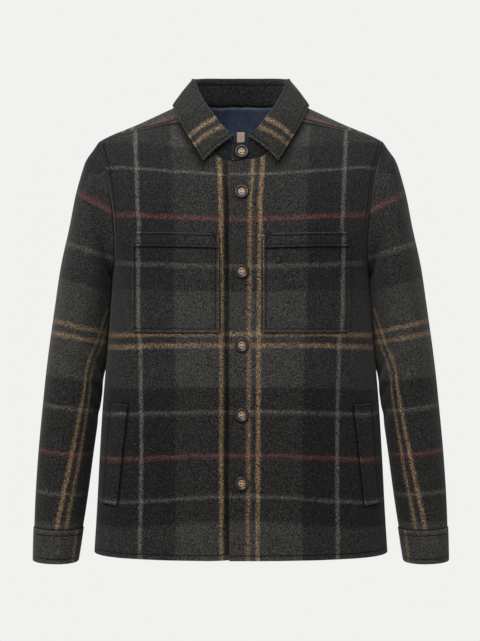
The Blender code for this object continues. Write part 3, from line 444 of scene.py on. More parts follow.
# Creases of worn cloth: place, lean from upright, half length, half width and height
CREASE_COLUMNS = "x z lean length width height"
FRONT_CREASES = table(
    CREASE_COLUMNS,
    (0.185, -0.300, -12, 0.060, 0.010, -0.0022),
    (0.168, -0.315, -18, 0.055, 0.012, 0.0016),
    (-0.188, -0.310, 14, 0.060, 0.010, -0.0022),
    (-0.170, -0.330, 20, 0.050, 0.012, 0.0014),
    (0.120, -0.470, 8, 0.110, 0.022, 0.0018),
    (0.155, -0.560, -4, 0.120, 0.018, -0.0018),
    (0.080, -0.620, 5, 0.110, 0.020, -0.0016),
    (-0.110, -0.500, -6, 0.120, 0.022, 0.0018),
    (-0.150, -0.590, 5, 0.110, 0.018, -0.0018),
    (-0.075, -0.630, -5, 0.100, 0.020, -0.0016),
    (0.070, -0.150, 40, 0.050, 0.012, -0.0012),
    (-0.072, -0.152, -42, 0.050, 0.012, -0.0012),
    (0.268, -0.380, -62, 0.040, 0.012, -0.0019),
    (0.255, -0.420, -50, 0.045, 0.013, -0.0016),
    (0.262, -0.400, -56, 0.040, 0.012, 0.0011),
    (0.285, -0.480, -30, 0.050, 0.013, -0.0012),
    (0.240, -0.330, -20, 0.050, 0.013, -0.0014),
    (0.300, -0.620, 10, 0.050, 0.013, -0.0010),
    (-0.266, -0.372, 60, 0.040, 0.012, -0.0017),
    (-0.252, -0.428, 48, 0.045, 0.013, -0.0017),
    (-0.260, -0.402, 55, 0.040, 0.012, 0.0011),
    (-0.286, -0.500, 28, 0.050, 0.013, -0.0011),
    (-0.238, -0.340, 22, 0.050, 0.013, -0.0014),
    (-0.302, -0.610, -12, 0.050, 0.013, -0.0010),
)
BACK_CREASES = table(
    CREASE_COLUMNS,
    (0.000, -0.170, 90, 0.090, 0.016, -0.0016),
    (0.165, -0.290, -16, 0.070, 0.013, -0.0026),
    (0.145, -0.310, -20, 0.060, 0.013, 0.0018),
    (-0.168, -0.300, 15, 0.070, 0.013, -0.0026),
    (-0.148, -0.320, 20, 0.060, 0.013, 0.0018),
    (0.060, -0.420, 6, 0.140, 0.024, 0.0022),
    (0.110, -0.540, -5, 0.130, 0.022, -0.0024),
    (-0.050, -0.450, -5, 0.140, 0.024, 0.0020),
    (-0.105, -0.560, 6, 0.130, 0.022, -0.0022),
    (0.010, -0.580, 2, 0.120, 0.022, -0.0018),
    (0.275, -0.370, -60, 0.045, 0.013, -0.0016),
    (0.262, -0.415, -48, 0.045, 0.013, -0.0014),
    (0.250, -0.320, -24, 0.050, 0.013, -0.0012),
    (-0.272, -0.380, 58, 0.045, 0.013, -0.0016),
    (-0.260, -0.425, 50, 0.045, 0.013, -0.0014),
    (-0.252, -0.330, 26, 0.050, 0.013, -0.0012),
)

# The wearer's right front sinks beside the edge of the left one
RECESS = 0.0040
RECESS_AT = 0.0205
RECESS_WIDTH = 0.0065

# Below this level the left front covers the right one's first stripe, which is left plain there
COVERED_FROM = -0.150
COVERED_FADE = 0.03
COVERED_WARP = 0.0215
PLAIN_WARP = 0.0205

# Sewing: how far from the edge a row of stitches runs, and how wide the shade at a seam is
ARMHOLE_STITCH = 0.0070
SHOULDER_STITCH = 0.0060
HEM_STITCH = 0.0080
CUFF_STITCH = 0.0080
LEAF_STITCH = 0.0060
POCKET_STITCH = 0.0050
NARROW_STITCH = 0.0040
LABEL_STITCH = 0.0015
SEAM_SHADE = 0.0120
UNDERLAP_SHADE = 0.045
LEAF_SHADE = 0.075
PATCH_SHADE_AT = 0.0004
PATCH_SHADE = 0.0105
WELT_SHADE = 0.0150
WELT_PAINTED_HIGHLIGHT = 0.30
NO_SEAM = 9.0
EDGE_SEAM = 0.67
RIM_STEPS = (0.0003, 0.0008, 0.0016, 0.0030)
RIM_ROUND = 0.0011
RIM_PRESS = 0.42

# Wool: the grains of its noises, and how strongly each one works
YARN_FUZZ = 0.0060
YARN_DRIFT = 0.0022
BAND_BLUR = 0.0012
STRIPE_BLUR = 0.0008
CROSSED_SHADE = 0.38
WEAVE_GAIN = 4.5
WARP_SHARE = 0.42
FLECK_GAIN = 8.0
FLECK_LOW = 0.12
CLOUD_GAIN = 0.36
HAIR_FROM = 0.56
HAIR_GAIN = 9.0
HAIR_SHARE = 0.30
HAIR = (0.085, 0.083, 0.080, 1)
# Painted shade in stitch grooves, at seams and along shadow lines, and a painted highlight near edges, all
# read from the seam attribute
GROOVE_SHADE = 0.92
EDGE_PAINTED_HIGHLIGHT = 0.50
STITCH_LENGTH = 0.0034
STITCH_LIGHT = 0.10
UNEVEN = 3.0
GROOVE_NARROW = 5.5
EDGE_NARROW = 1.5
STITCH_NARROW = 14.0
DASH_SHIFT = 0.5
DASH_GAIN = 3.0
NAP_CLOUD = 0.6
NAP_GROOVE = 1.1
NAP_STITCH = 0.5
NAP_STRENGTH = 0.75
NAP_HEIGHT = 0.0009
BUTTON_SHADE_OFFSET = (0.0006, 0.0, -0.0008)
BUTTON_SHADE_INSET = 0.0015
BUTTON_SHADE_WIDTH = 0.0045
BUTTON_SHADE_LOW = 0.25
WOOL_FINISH = {
    "Roughness": 0.95,
    "Specular IOR Level": 0.12,
    "Sheen Weight": 0.10,
    "Sheen Roughness": 0.45,
    "Sheen Tint": (0.8, 0.8, 0.78, 1),
}

# The plain finishes, with the scale and the depth of their grain
FINISHES = table(
    "name colour roughness scale depth contrast sheen",
    ("navy_satin", (0.050, 0.067, 0.115), 0.42, 48, 0.0060, 0.60, 0.1),
    ("label_tape", (0.84, 0.60, 0.50), 0.85, 1500, 0.0002, 0.2, 0.0),
    ("dark_horn", (0.028, 0.022, 0.020), 0.24, 260, 0.00003, 0.5, 0.0),
    ("tan_horn", (0.38, 0.230, 0.130), 0.35, 300, 0.00003, 0.35, 0.0),
    ("cream_thread", (0.84, 0.72, 0.54), 0.8, 2500, 0.0001, 0.2, 0.0),
    # Near black, painted shade for the inside of the buttons' holes
    ("dark_hole", (0.004, 0.003, 0.003), 0.9, 900, 0.00003, 0.2, 0.0),
)

# Stage, lamps and camera
FLOOR = -1.55
FLOOR_HALF_WIDTH = 9.0
FLOOR_BACK = 4.4
WALL_TOP = 8.0
BEND = 1.6
PAPER = (0.879, 0.879, 0.864, 1)
GARMENT_MIDDLE = (0, 0, -0.35)
LAMPS = table(
    "name place size power",
    ("key", (-0.9, -2.6, 1.6), (2.2, 1.6), 86.0),
    ("fill_left", (-2.6, -1.4, 0.9), (1.6, 2.4), 15.0),
    ("fill_right", (2.6, -1.4, 0.9), (1.6, 2.4), 15.0),
    ("top", (0, -0.2, 2.2), (2.4, 1.6), 32.0),
)
WORLD_LIGHT = 0.27
CAMERA_PLACE = (-0.0014, -2.3, -0.3508)
CAMERA_LENS = 80.7
CAMERA_SENSOR = 36.0


# Curves


def hermite(xs, ys, where, flat_start=False):
    """Monotone cubic curve through the points (xs, ys)."""
    step = np.diff(xs)
    slope = np.diff(ys) / step
    tangent = np.zeros_like(ys)
    same = slope[:-1] * slope[1:] > 0
    total = np.where(same, slope[:-1] + slope[1:], 1.0)
    tangent[1:-1] = np.where(same, 2 * slope[:-1] * slope[1:] / total, 0.0)
    tangent[0], tangent[-1] = 0.0 if flat_start else slope[0], slope[-1]
    where = np.clip(np.asarray(where, float), xs[0], xs[-1])
    i = np.clip(np.searchsorted(xs, where, side="right") - 1, 0, len(step) - 1)
    t = (where - xs[i]) / step[i]
    rise = ys[i] * (1 + 2 * t) * (1 - t) ** 2 + ys[i + 1] * t * t * (3 - 2 * t)
    return rise + step[i] * (tangent[i] * t * (1 - t) ** 2 - tangent[i + 1] * t * t * (1 - t))


def through(rows, where, flat_start=False):
    """The second column of a table at places along its first."""
    xs, ys = np.array(rows, float).T
    return hermite(xs, ys, where, flat_start)


def at_height(rows, column, z):
    """The value of a column of a table at heights z."""
    return through([(row.z, getattr(row, column)) for row in rows], z)


def half_width(z):
    return at_height(BODY_RINGS, "half_width", z)


def run_of(points):
    """Distance along a line of points from its first."""
    return np.concatenate([[0.0], np.cumsum(np.linalg.norm(np.diff(points, axis=0), axis=1))])


def spline(points, where):
    """A natural cubic curve through points, by chord length, at where from 0 to 1."""
    points = np.asarray(points, float)
    knots = run_of(points)
    knots /= knots[-1]
    count = len(points)
    matrix = np.zeros((count, count))
    right = np.zeros_like(points)
    matrix[0, 0] = matrix[-1, -1] = 1.0
    step = np.diff(knots)
    slope = np.diff(points, axis=0) / step[:, None]
    for i in range(1, count - 1):
        matrix[i, i - 1 : i + 2] = step[i - 1], 2 * (step[i - 1] + step[i]), step[i]
        right[i] = 6 * (slope[i] - slope[i - 1])
    bend = np.linalg.solve(matrix, right)
    where = np.clip(np.asarray(where, float), 0, 1)
    i = np.clip(np.searchsorted(knots, where, side="right") - 1, 0, count - 2)
    h = step[i][:, None]
    a = (knots[i + 1] - where)[:, None] / h
    b = (where - knots[i])[:, None] / h
    sag = ((a**3 - a) * bend[i] + (b**3 - b) * bend[i + 1]) * h * h / 6
    return a * points[i] + b * points[i + 1] + sag


def unit(vectors):
    return vectors / np.maximum(np.linalg.norm(vectors, axis=-1, keepdims=True), 1e-12)


def even(curve, count, dense=240):
    """count + 1 parameters that divide a curve, a function of 0 to 1, into equal lengths."""
    t = np.linspace(0, 1, dense)
    run = run_of(curve(t))
    return np.interp(np.linspace(0, run[-1], count + 1), run, t)


def joined(*runs):
    return np.concatenate([runs[0]] + [run[1:] for run in runs[1:]])


def ease(share):
    """A share from 0 to 1 that starts and ends softly."""
    return share * share * (3 - 2 * share)


# Body form


def ridge(x):
    return through(SHOULDER_RIDGE, np.abs(x), flat_start=True)


def rise_share(x, z, slope):
    """How much of the chest's depth is left at a height, 1 at the chest and 0 above the ridge."""
    top = ridge(x) + RIDGE_CREST
    share = np.clip((z - CHEST_LEVEL) / (top - CHEST_LEVEL), 0, 1)
    return (1 - share ** slope[0]) ** slope[1]


def depth(x, z, across, front):
    """Distance of the cloth from the shoulder's plane, across being the section's own share."""
    found = []
    for column, slope in (("front_depth", FRONT_SLOPE), ("back_depth", BACK_SLOPE)):
        share = rise_share(x, z, slope) ** 2 - rise_share(x, ridge(x), slope) ** 2
        found.append(at_height(BODY_RINGS, column, z) * across * np.sqrt(np.clip(share, 0, None)))
    return np.where(front, *found)


def fold_depth(x, z, side):
    """How far the soft folds press the cloth in."""
    pressed = np.zeros_like(x)
    for fold in BODY_FOLDS:
        along = (z - fold.z) / fold.half_length
        across = (np.abs(x) - fold.x - fold.lean * (z - fold.z)) / fold.half_width
        pressed += np.where(side == fold.side, fold.depth * np.exp(-(along**2) - across**2), 0.0)
    return pressed


def drop_of(below):
    return np.sqrt(RIDGE_ROUND**2 + below**2) - RIDGE_ROUND


def form(places):
    """The cloth's outer face at places (turn, below), turn being 0 in the middle and a right angle
    at the side seam."""
    turn, below = np.moveaxis(places, -1, 0)
    power = 2 / BODY_ROUNDNESS
    sideways = np.sign(turn) * np.abs(np.sin(turn)) ** power
    x = sideways * WIDTH_GUESS
    for _ in range(WIDTH_STEPS):
        z = ridge(x) - drop_of(below)
        x = sideways * half_width(z)
    side = np.where(below > 0, -1.0, 1.0)
    across = np.abs(np.cos(turn)) ** power
    y = side * (depth(x, z, across, below > 0) - fold_depth(x, z, side))
    return np.stack([x, y, z], axis=-1)


def body_turn(x, width):
    """The angle at which the form is x wide, where its half width is width."""
    return np.sign(x) * np.arcsin(np.clip(np.abs(x) / width, 0, 1) ** (BODY_ROUNDNESS / 2))


def body_place(x, z, front):
    """The place at a width and a height."""
    x, z = np.broadcast_arrays(np.asarray(x, float), np.asarray(z, float))
    drop = np.clip(ridge(x) - z, 0, None)
    below = np.sqrt((drop + RIDGE_ROUND) ** 2 - RIDGE_ROUND**2)
    return np.stack([body_turn(x, half_width(z)), below if front else -below], axis=-1)


def edge_place(x, below):
    """The place at a width and a distance under the ridge."""
    return np.stack([body_turn(x, half_width(ridge(x) - drop_of(below))), below], axis=-1)


def body_normal(places):
    """Outward directions of the body form at places."""
    inward = np.where(places[..., :1] > 0, -0.01, 0.01) * np.array([1, 0])
    further = np.array([0, 0.002])
    point = form(places)
    normal = unit(np.cross(point - form(places + inward), form(places + further) - form(places - further)))
    centre = point * np.array([0.5, 0, 1])
    centre[..., 2] = np.minimum(centre[..., 2], CHEST_LEVEL)
    return normal * np.sign(np.sum(normal * (point - centre), axis=-1, keepdims=True))


def along_table(rows):
    """A curve of places, over 0 to 1, through rows of x and below."""
    return lambda t: edge_place(*spline(rows, t).T)


def armhole_curve(rows, front):
    """A curve of places, over 0 to 1, up an armhole from the side seam."""

    def curve(t):
        x, z = spline(rows, t).T
        places = body_place(x, np.minimum(z, ridge(x)), front)
        places[t <= 0, 0] = math.pi / 2
        return places

    return curve


def pieces_of(curve, count, dense=240):
    """Places that divide a curve on the body into equal lengths."""
    return curve(even(lambda t: form(curve(t)), count, dense))


def hem_run(x, columns, front):
    """Places along the hem from x to the side seam, with columns of them below the neck."""
    start, split = (body_place(at, HEM_FRONT, front)[0] for at in (x, HEM_SPLIT))
    outer = np.linspace(split, math.pi / 2, SHOULDER_COLUMNS + 1)
    turns = joined(np.linspace(start, split, columns + 1), outer)
    x = np.sign(turns) * np.abs(np.sin(turns)) ** (2 / BODY_ROUNDNESS) * HEM_HALF_WIDTH
    rise = (HEM_SIDE - HEM_FRONT) * np.clip(np.abs(x) / HEM_REACH, 0, 1) ** 2
    places = body_place(x, HEM_FRONT + rise, front)
    places[:, 0] = turns
    return places


def centre_run(x, middle, top, rows, front):
    """Places up the body at x, in two runs that match the side seam and the armhole."""
    z = joined(np.linspace(HEM_FRONT, middle, SIDE_ROWS + 1), np.linspace(middle, top, rows + 1))
    return body_place(np.full_like(z, x), z, front)


def side_run(rows, count, end, front):
    """Places up the side seam and the armhole to the shoulder's end."""
    z = np.linspace(HEM_SIDE, ARMPIT_LEVEL, SIDE_ROWS + 1)
    seam = body_place(half_width(z), z, front)
    seam[:, 0] = math.pi / 2
    armhole = pieces_of(armhole_curve(rows, front), count)
    armhole[-1] = end
    return joined(seam, armhole)


def coons(bottom, top, left, right):
    """Grid of places, rows from bottom to top, that meets its four edges."""
    left[0], left[-1] = bottom[0], top[0]
    s = np.linspace(0, 1, len(bottom))[None, :, None]
    t = np.linspace(0, 1, len(left))[:, None, None]
    ruled = (1 - t) * bottom[None] + t * top[None] + (1 - s) * left[:, None] + s * right[:, None]
    corners = (1 - s) * (1 - t) * bottom[0] + s * (1 - t) * bottom[-1]
    return ruled - corners - (1 - s) * t * top[0] - s * t * top[-1]


def front_places():
    """Grid of places of the wearer's left front, from its front edge to the side."""
    neck = pieces_of(along_table(NECKLINE[: SEAM_ON_NECKLINE + 1]), NECK_COLUMNS - 1)
    corner = edge_place(np.array([-OVERLAP]), np.array([NECKLINE[0].below + NECK_CORNER_DROP]))
    shoulder = pieces_of(along_table(SHOULDER_SEAM), SHOULDER_COLUMNS)
    top = joined(np.concatenate([corner, neck]), shoulder)
    left = centre_run(-OVERLAP, FRONT_MIDDLE, float(form(corner)[0, 2]), ARMHOLE_ROWS, True)
    right = side_run(FRONT_ARMHOLE, ARMHOLE_ROWS, shoulder[-1], True)
    return coons(hem_run(-OVERLAP, NECK_COLUMNS, True), top, left, right)


def back_places():
    """Grid of places of the back. Its last rows run over the shoulders to the seams in front."""
    neck = pieces_of(along_table(NECKLINE[RIDGE_ON_NECKLINE:]), BACK_NECK_COLUMNS)[::-1]
    shoulder = pieces_of(along_table(SHOULDER_SEAM), SHOULDER_COLUMNS)
    x = np.linspace(NECKLINE[RIDGE_ON_NECKLINE].x, BACK_ARMHOLE[-1].x, SHOULDER_COLUMNS + 1)
    crest = edge_place(x, np.zeros_like(x))
    crest[0] = neck[-1]
    centre = centre_run(0, BACK_MIDDLE, float(form(neck[:1])[0, 2]), ARMHOLE_ROWS - 1, False)
    right = side_run(BACK_ARMHOLE, ARMHOLE_ROWS - 1, crest[-1], False)
    half = coons(hem_run(0, BACK_NECK_COLUMNS, False), joined(neck, crest), centre, right)
    share = (np.arange(1, OVER_ROWS + 1) / OVER_ROWS)[:, None, None]
    unused = np.repeat(neck[None, :-1], OVER_ROWS, axis=0)
    over = np.concatenate([unused, crest + (shoulder - crest) * share], axis=1)
    half = np.concatenate([half, over])
    return np.concatenate([half[:, :0:-1] * np.array([-1.0, 1.0]), half], axis=1)


# Sleeve form


def ring_shape(ring, around):
    """Points of one sleeve ring, around being the share of the way from outside to outside."""
    outer = np.array([ring.outer_x, ring.y, ring.outer_z])
    inner = np.array([ring.inner_x, ring.y, ring.inner_z])
    side = np.array([0, -ring.half_depth, 0])

    def curve(t):
        angle = t * 2 * math.pi
        wave = np.array([np.cos(angle), np.sin(angle)])
        c, s = (np.sign(wave) * np.abs(wave) ** (2 / SLEEVE_ROUNDNESS))[..., None]
        return (outer + inner) / 2 + c * (outer - inner) / 2 + s * side

    return curve(np.interp(around, np.linspace(0, 1, 721), even(curve, 720, 1441)))


def sleeve_grid(loop):
    """Grid of points, rows along the sleeve, and each column's share of the way round."""
    start = form(loop)
    run = run_of(np.concatenate([start, start[:1]]))
    around = (run / run[-1])[:-1]
    lines = np.array([start] + [ring_shape(ring, around) for ring in SLEEVE_RINGS])
    return lofted(lines, SLEEVE_ROWS + 1), around


def lofted(lines, rows):
    """Grid of points through lines of points, by a spline along each column."""
    along = np.linspace(0, 1, rows)
    return np.stack([spline(lines[:, j], along) for j in range(lines.shape[1])], axis=1)


def grid_normals(grid, closed=False):
    """Directions square to a grid of points. Its columns close up where closed is true."""
    across = np.gradient(grid, axis=1)
    if closed:
        across = np.roll(grid, -1, axis=1) - np.roll(grid, 1, axis=1)
    return unit(np.cross(across, np.gradient(grid, axis=0)))


def press_sleeve_folds(grid, normal, around):
    along = np.linspace(0, 1, len(grid))
    deep = np.zeros(grid.shape[:2])
    for fold in SLEEVE_FOLDS:
        gap = np.abs(around - fold.around)
        gap = np.minimum(gap, 1 - gap)
        reach = np.exp(-((gap / fold.length) ** 2))[None, :]
        deep += fold.depth * reach * np.exp(-(((along - fold.along) / fold.width) ** 2))[:, None]
    return grid - normal * deep[..., None]


def against_body(points):
    """The points of a sleeve with its inner side resting close to the body below the armhole."""
    x, y, z = np.moveaxis(points, -1, 0)
    depths = [at_height(BODY_RINGS, column, z) for column in ("front_depth", "back_depth")]
    inside = np.clip(1 - np.abs(y / np.where(y < 0, *depths)) ** BODY_ROUNDNESS, 0, 1)
    gap = x - half_width(z) * inside ** (1 / BODY_ROUNDNESS)
    level = np.clip((ARMPIT_LEVEL - z) / REST_START, 0, 1) * np.clip((z - REST_END) / REST_FADE, 0, 1)
    moved = points.copy()
    moved[..., 0] -= np.clip(gap - SLEEVE_REST, 0, 1) * np.exp(-((gap / REST_REACH) ** 2)) * level
    return moved


# Grids of cloth


def from_side(grid, side):
    """The grid seen with the edge named as its first row."""
    if side in ("left", "right"):
        grid = np.swapaxes(grid, 0, 1)
    return grid[::-1] if side in ("top", "right") else grid


def trimmed(grid, edges, amount):
    """The grid with the edges named pulled back."""
    grid = grid.copy()
    for side in edges:
        seen = from_side(grid, side)
        seen[0] += unit(seen[1] - seen[0]) * amount
    return grid


def flipped(points):
    return points * np.array([-1.0, 1.0, 1.0])


def mirrored(grid, turn=flipped):
    """A half grid that ends at the centre, with its mirror image before it."""
    return np.concatenate([turn(grid), grid[:, -2::-1]], axis=1)


def underlap(points):
    """The wearer's right front with its drop behind the left one near the centre."""
    share = np.clip((UNDERLAP_START + points[..., 0]) / (UNDERLAP_START - OVERLAP - UNDERLAP_FLAT), 0, 1)
    return UNDERLAP_DROP * ease(share)[..., None]


def evened(normals):
    """Directions round a loop, each averaged with the ones beside it."""
    return unit(normals * 2 + np.roll(normals, 1, axis=0) + np.roll(normals, -1, axis=0))


def run_along(points, axis):
    """Distance from the first row or column of a grid of points, along it."""
    pad = [(0, 0), (0, 0)]
    pad[axis] = (1, 0)
    return np.pad(np.cumsum(np.linalg.norm(np.diff(points, axis=axis), axis=-1), axis=axis), pad)


def from_edge(points, side):
    """Distance of each point of a grid from the edge named."""
    found = np.zeros(points.shape[:2])
    from_side(found, side)[...] = run_along(from_side(points, side), 0)
    return found


def seam_field(points, rows):
    """1 on a row of topstitching, where the wool finish paints shade into the groove, from pairs of an
    edge's name and the row's distance from it; below 0.67 near the edge, where the wool finish paints a
    highlight.
    """
    found = np.full(points.shape[:2], NO_SEAM)
    for side, gap in rows:
        found = np.minimum(found, from_edge(points, side) / gap)
    return found


def fields_of(points, normal, warp, weft, seam):
    return np.concatenate([points, normal, np.stack([warp, weft, seam], -1)], -1)


def rimmed(fields, side):
    """The fields of a grid, with more rows or columns close to an edge that is rounded off."""
    seen = from_side(fields, side)
    step = np.linalg.norm(seen[1, :, :3] - seen[0, :, :3], axis=-1)[:, None]
    shares = [np.minimum(gap / np.maximum(step, 1e-6), 0.2 + 150 * gap) for gap in RIM_STEPS]
    extra = np.array([seen[0] + (seen[1] - seen[0]) * share for share in shares])
    shape = list(fields.shape)
    shape[side in ("left", "right")] += len(RIM_STEPS)
    grown = np.zeros(shape)
    from_side(grown, side)[...] = np.concatenate([seen[:1], extra, seen[1:]])
    return grown


def creased(fields):
    """The points with the troughs and ridges of the creases pressed into them."""
    x, z = fields[..., 0], fields[..., 2]
    moved = np.zeros_like(x)
    for creases, side in ((FRONT_CREASES, -1.0), (BACK_CREASES, 1.0)):
        facing = np.clip(fields[..., 4] * side * 1.8 - 0.2, 0, 1)
        for crease in creases:
            cos, sin = math.cos(math.radians(crease.lean)), math.sin(math.radians(crease.lean))
            across = ((x - crease.x) * cos + (z - crease.z) * sin) / crease.width
            along = ((z - crease.z) * cos - (x - crease.x) * sin) / crease.length
            moved += crease.height * facing * np.exp(-(across**2) - along**2)
    return fields[..., :3] + fields[..., 3:6] * moved[..., None]


# Cloth meshes


def wall_faces(rows, columns, closed, keep):
    """Faces of a closed wall over a grid: the outer face, the inner one and the rims."""
    count = rows * columns
    i, j = np.meshgrid(np.arange(rows - 1), np.arange(columns if closed else columns - 1), indexing="ij")
    k = (j + 1) % columns
    quads = np.stack([i * columns + j, i * columns + k, (i + 1) * columns + k, (i + 1) * columns + j], -1)
    if keep is not None:
        added = np.ones((len(quads) - len(keep), keep.shape[1]), bool)
        quads = quads[np.concatenate([added, keep])]
    quads = quads.reshape(-1, 4)
    edges = np.concatenate([quads[:, [a, (a + 1) % 4]] for a in range(4)]).astype(np.int64)
    rim = edges[~np.isin(edges[:, 0] * count + edges[:, 1], edges[:, 1] * count + edges[:, 0])]
    sides = np.stack([rim[:, 1], rim[:, 0], rim[:, 0] + count, rim[:, 1] + count], -1)
    return np.concatenate([quads, quads[:, ::-1] + count, sides])


def signed_volume(points, faces):
    a, b, c, d = (points[faces[:, i]] for i in range(4))
    return float(np.sum(a * np.cross(b, c)) + np.sum(a * np.cross(c, d))) / 6


def cloth_mesh(name, fields, thick, rims, closed, keep):
    """One closed wall of cloth with rounded rims. fields: point, normal, warp, weft, seam."""
    for side in rims:
        fields = rimmed(fields, side)
    points, normal = fields[..., :3], fields[..., 3:6]
    near = np.full(points.shape[:2], 1.0)
    for side in rims:
        near = np.minimum(near, from_edge(points, side))
    bend = np.clip(1 - near / RIM_ROUND, 0, 1)
    pressed = (thick * RIM_PRESS * (1 - np.sqrt(np.clip(1 - bend**2, 0, 1))))[..., None]
    walls = [points - normal * pressed, points - normal * (thick - pressed)]
    faces = wall_faces(*points.shape[:2], closed, keep)
    used, faces = np.unique(faces, return_inverse=True)
    faces = faces.reshape(-1, 4)
    everything = np.concatenate([wall.reshape(-1, 3) for wall in walls])[used]
    extra = np.concatenate([fields[..., 6:].reshape(-1, 3)] * 2)[used]
    mesh = bpy.data.meshes.new(name)
    mesh.from_pydata(everything.tolist(), [], faces.tolist())
    uv = mesh.uv_layers.new(name="cloth")
    corner = np.zeros(len(mesh.loops), np.int32)
    mesh.loops.foreach_get("vertex_index", corner)
    uv.data.foreach_set("uv", extra[corner, :2].astype(np.float32).ravel())
    # The seam attribute tells the wool finish where to paint shade in grooves and shadow lines, and
    # highlights along edges
    seam = mesh.attributes.new("seam", "FLOAT", "POINT")
    seam.data.foreach_set("value", extra[:, 2].astype(np.float32))
    if signed_volume(everything, faces) < 0:
        mesh.flip_normals()
    mesh.shade_smooth()
    return mesh


def area_of(points, closed, keep):
    """Area of a grid of points."""
    if closed:
        points = np.concatenate([points, points[:, :1]], axis=1)
    a, b, c, d = points[:-1, :-1], points[:-1, 1:], points[1:, 1:], points[1:, :-1]
    found = np.linalg.norm(np.cross(c - a, d - b), axis=-1) / 2
    return float(found.sum() if keep is None else found[keep].sum())


def placed(name, data):
    """A new object in the scene."""
    thing = bpy.data.objects.new(name, data)
    bpy.context.scene.collection.objects.link(thing)
    return thing


def add_cloth(name, node, fields, thick, material, cut, rims=(), closed=False, keep=None):
    """A finished piece of cloth in place of its CAD node. The area worked out from the size of its cut is
    not used.
    """
    fields = fields.copy()
    fields[..., :3] = creased(fields)
    mesh = cloth_mesh(name, fields, thick, rims, closed, keep)
    mesh.materials.append(material)
    piece = placed(name, mesh)
    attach(piece, "root")
    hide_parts(node)
    area = min(area_of(fields[..., :3], closed, keep), cut[0] * cut[1])


# Plaid on the pieces


def section_run(turn):
    """Length of a section from the centre line to an angle, as a share of its half width."""
    angle = np.linspace(0, math.pi / 2, 400)
    power = 2 / BODY_ROUNDNESS
    run = run_of(np.stack([np.sin(angle) ** power, 0.55 * np.cos(angle) ** power], -1))
    return np.interp(np.abs(turn), angle, run)


def back_warp(places, points):
    """How far a place on the back lies from the centre line, along the cloth."""
    z = points[..., 2]
    lean = ease(np.clip((z - LEAN_FROM) / LEAN_RUN, 0, 1))
    run = half_width(z) * section_run(places[..., 0]) / (1 + SHOULDER_LEAN * lean)
    return PAIR_CENTRE + run - BACK_PAIR_AT


def back_weft(points):
    """How far up the cloth of the back a point lies."""
    x, y, z = np.moveaxis(points, -1, 0)
    run = run_along(points, 0)
    level = np.argmax(z[:, z.shape[1] // 2] > BACK_LEVEL)
    weft = z.copy()
    weft[level:] = weft[level] + run[level:] - run[level]
    over = np.clip((OVER_RUN - y) / OVER_RUN, 0, 1) * (z > OVER_LEVEL)
    return weft + OVER_SLOPE * (np.abs(x) - OVER_FROM) * over


def between(lines, wefts, z):
    """The weft at heights z, lines being the heights of the known wefts, from low to high."""
    found = wefts[0] + (z - lines[0])
    for i in range(len(wefts) - 1):
        share = (z - lines[i]) / (lines[i + 1] - lines[i])
        found = np.where(share >= 0, wefts[i] + share * (wefts[i + 1] - wefts[i]), found)
    return found


def front_weft(points):
    """How far up the cloth of a front a point lies."""
    widths = np.array(FRONT_WIDTHS)
    lines = [hermite(widths, np.array(row[1:]), np.abs(points[..., 0])) for row in FRONT_WEFTS]
    return between(lines, [row.weft for row in FRONT_WEFTS], points[..., 2])


def front_warp(places, points, side):
    """How far from the centre line a point of a front lies, along the cloth."""
    z = points[..., 2]
    width = half_width(z)
    run = width * section_run(places[..., 0]) * np.where(places[..., 0] < 0, -1, 1)
    lines = [at_height(FRONT_WARPS, f"{side}_{line}", z) for line in ("pair", "pale")]
    pair, pale = (width * section_run(body_turn(x, width)) for x in lines)
    share = (run - pair) / (pale - pair)
    inside = np.where(share < 0, PAIR_CENTRE + run - pair, PAIR_CENTRE + share * (PALE_AT - PAIR_CENTRE))
    return np.where(share > 1, PALE_AT + run - pale, inside)


def sleeve_weft(points):
    """How far along the sleeve's cloth a point lies, from its height and its place across."""
    x, z = points[..., 0], points[..., 2]
    outer = through([(-ring.outer_z, ring.outer_x) for ring in SLEEVE_RINGS], -z)
    inner = through([(-ring.inner_z, ring.inner_x) for ring in SLEEVE_RINGS], -z)
    inner = np.where(z > ARMPIT_LEVEL, at_height(FRONT_ARMHOLE, "x", z), inner)
    share = np.clip((x - inner) / (outer - inner), 0, 1)
    lines = [row.outer_z * share + row.inner_z * (1 - share) for row in SLEEVE_STATIONS]
    return between(lines, [row.weft for row in SLEEVE_STATIONS], z)


def pair_place(gone, past):
    """How far round the front of a sleeve the tan pair lies, past being 0 on its line."""
    order = np.argsort(gone)
    gone, past = gone[order], past[order]
    ahead = (gone > PAIR_FROM) & (gone < gone[-1] * PAIR_UP_TO)
    gone, falls = gone[ahead], np.minimum.accumulate(past[ahead])
    if falls[-1] > 0:
        return float(gone[-1] + falls[-1] + PAIR_BEYOND)
    return float(np.interp(0, falls[::-1], gone[::-1]))


def sleeve_warp(points):
    """The warp round the sleeve, which keeps its tan pair on the line down the front."""
    run = run_along(np.concatenate([points, points[:, :1]], axis=1), 1)
    total = run[:, -1:]
    gone = np.mod(run[:, :-1] + total / 2, total) - total / 2
    gone = gone * np.sign(np.sum(gone * -points[..., 1]))
    past = points[..., 0] - through(SLEEVE_PAIR, points[..., 2])
    pair_at = np.array([pair_place(*row) for row in zip(gone, past)])
    for _ in range(6):
        pair_at[1:-1] = (pair_at[:-2] + 2 * pair_at[1:-1] + pair_at[2:]) / 4
    away, warp = np.array(SLEEVE_RUN).T
    return np.clip(PAIR_CENTRE + np.interp(pair_at[:, None] - gone, away, warp), *SLEEVE_WARP_SPAN)


# Materials


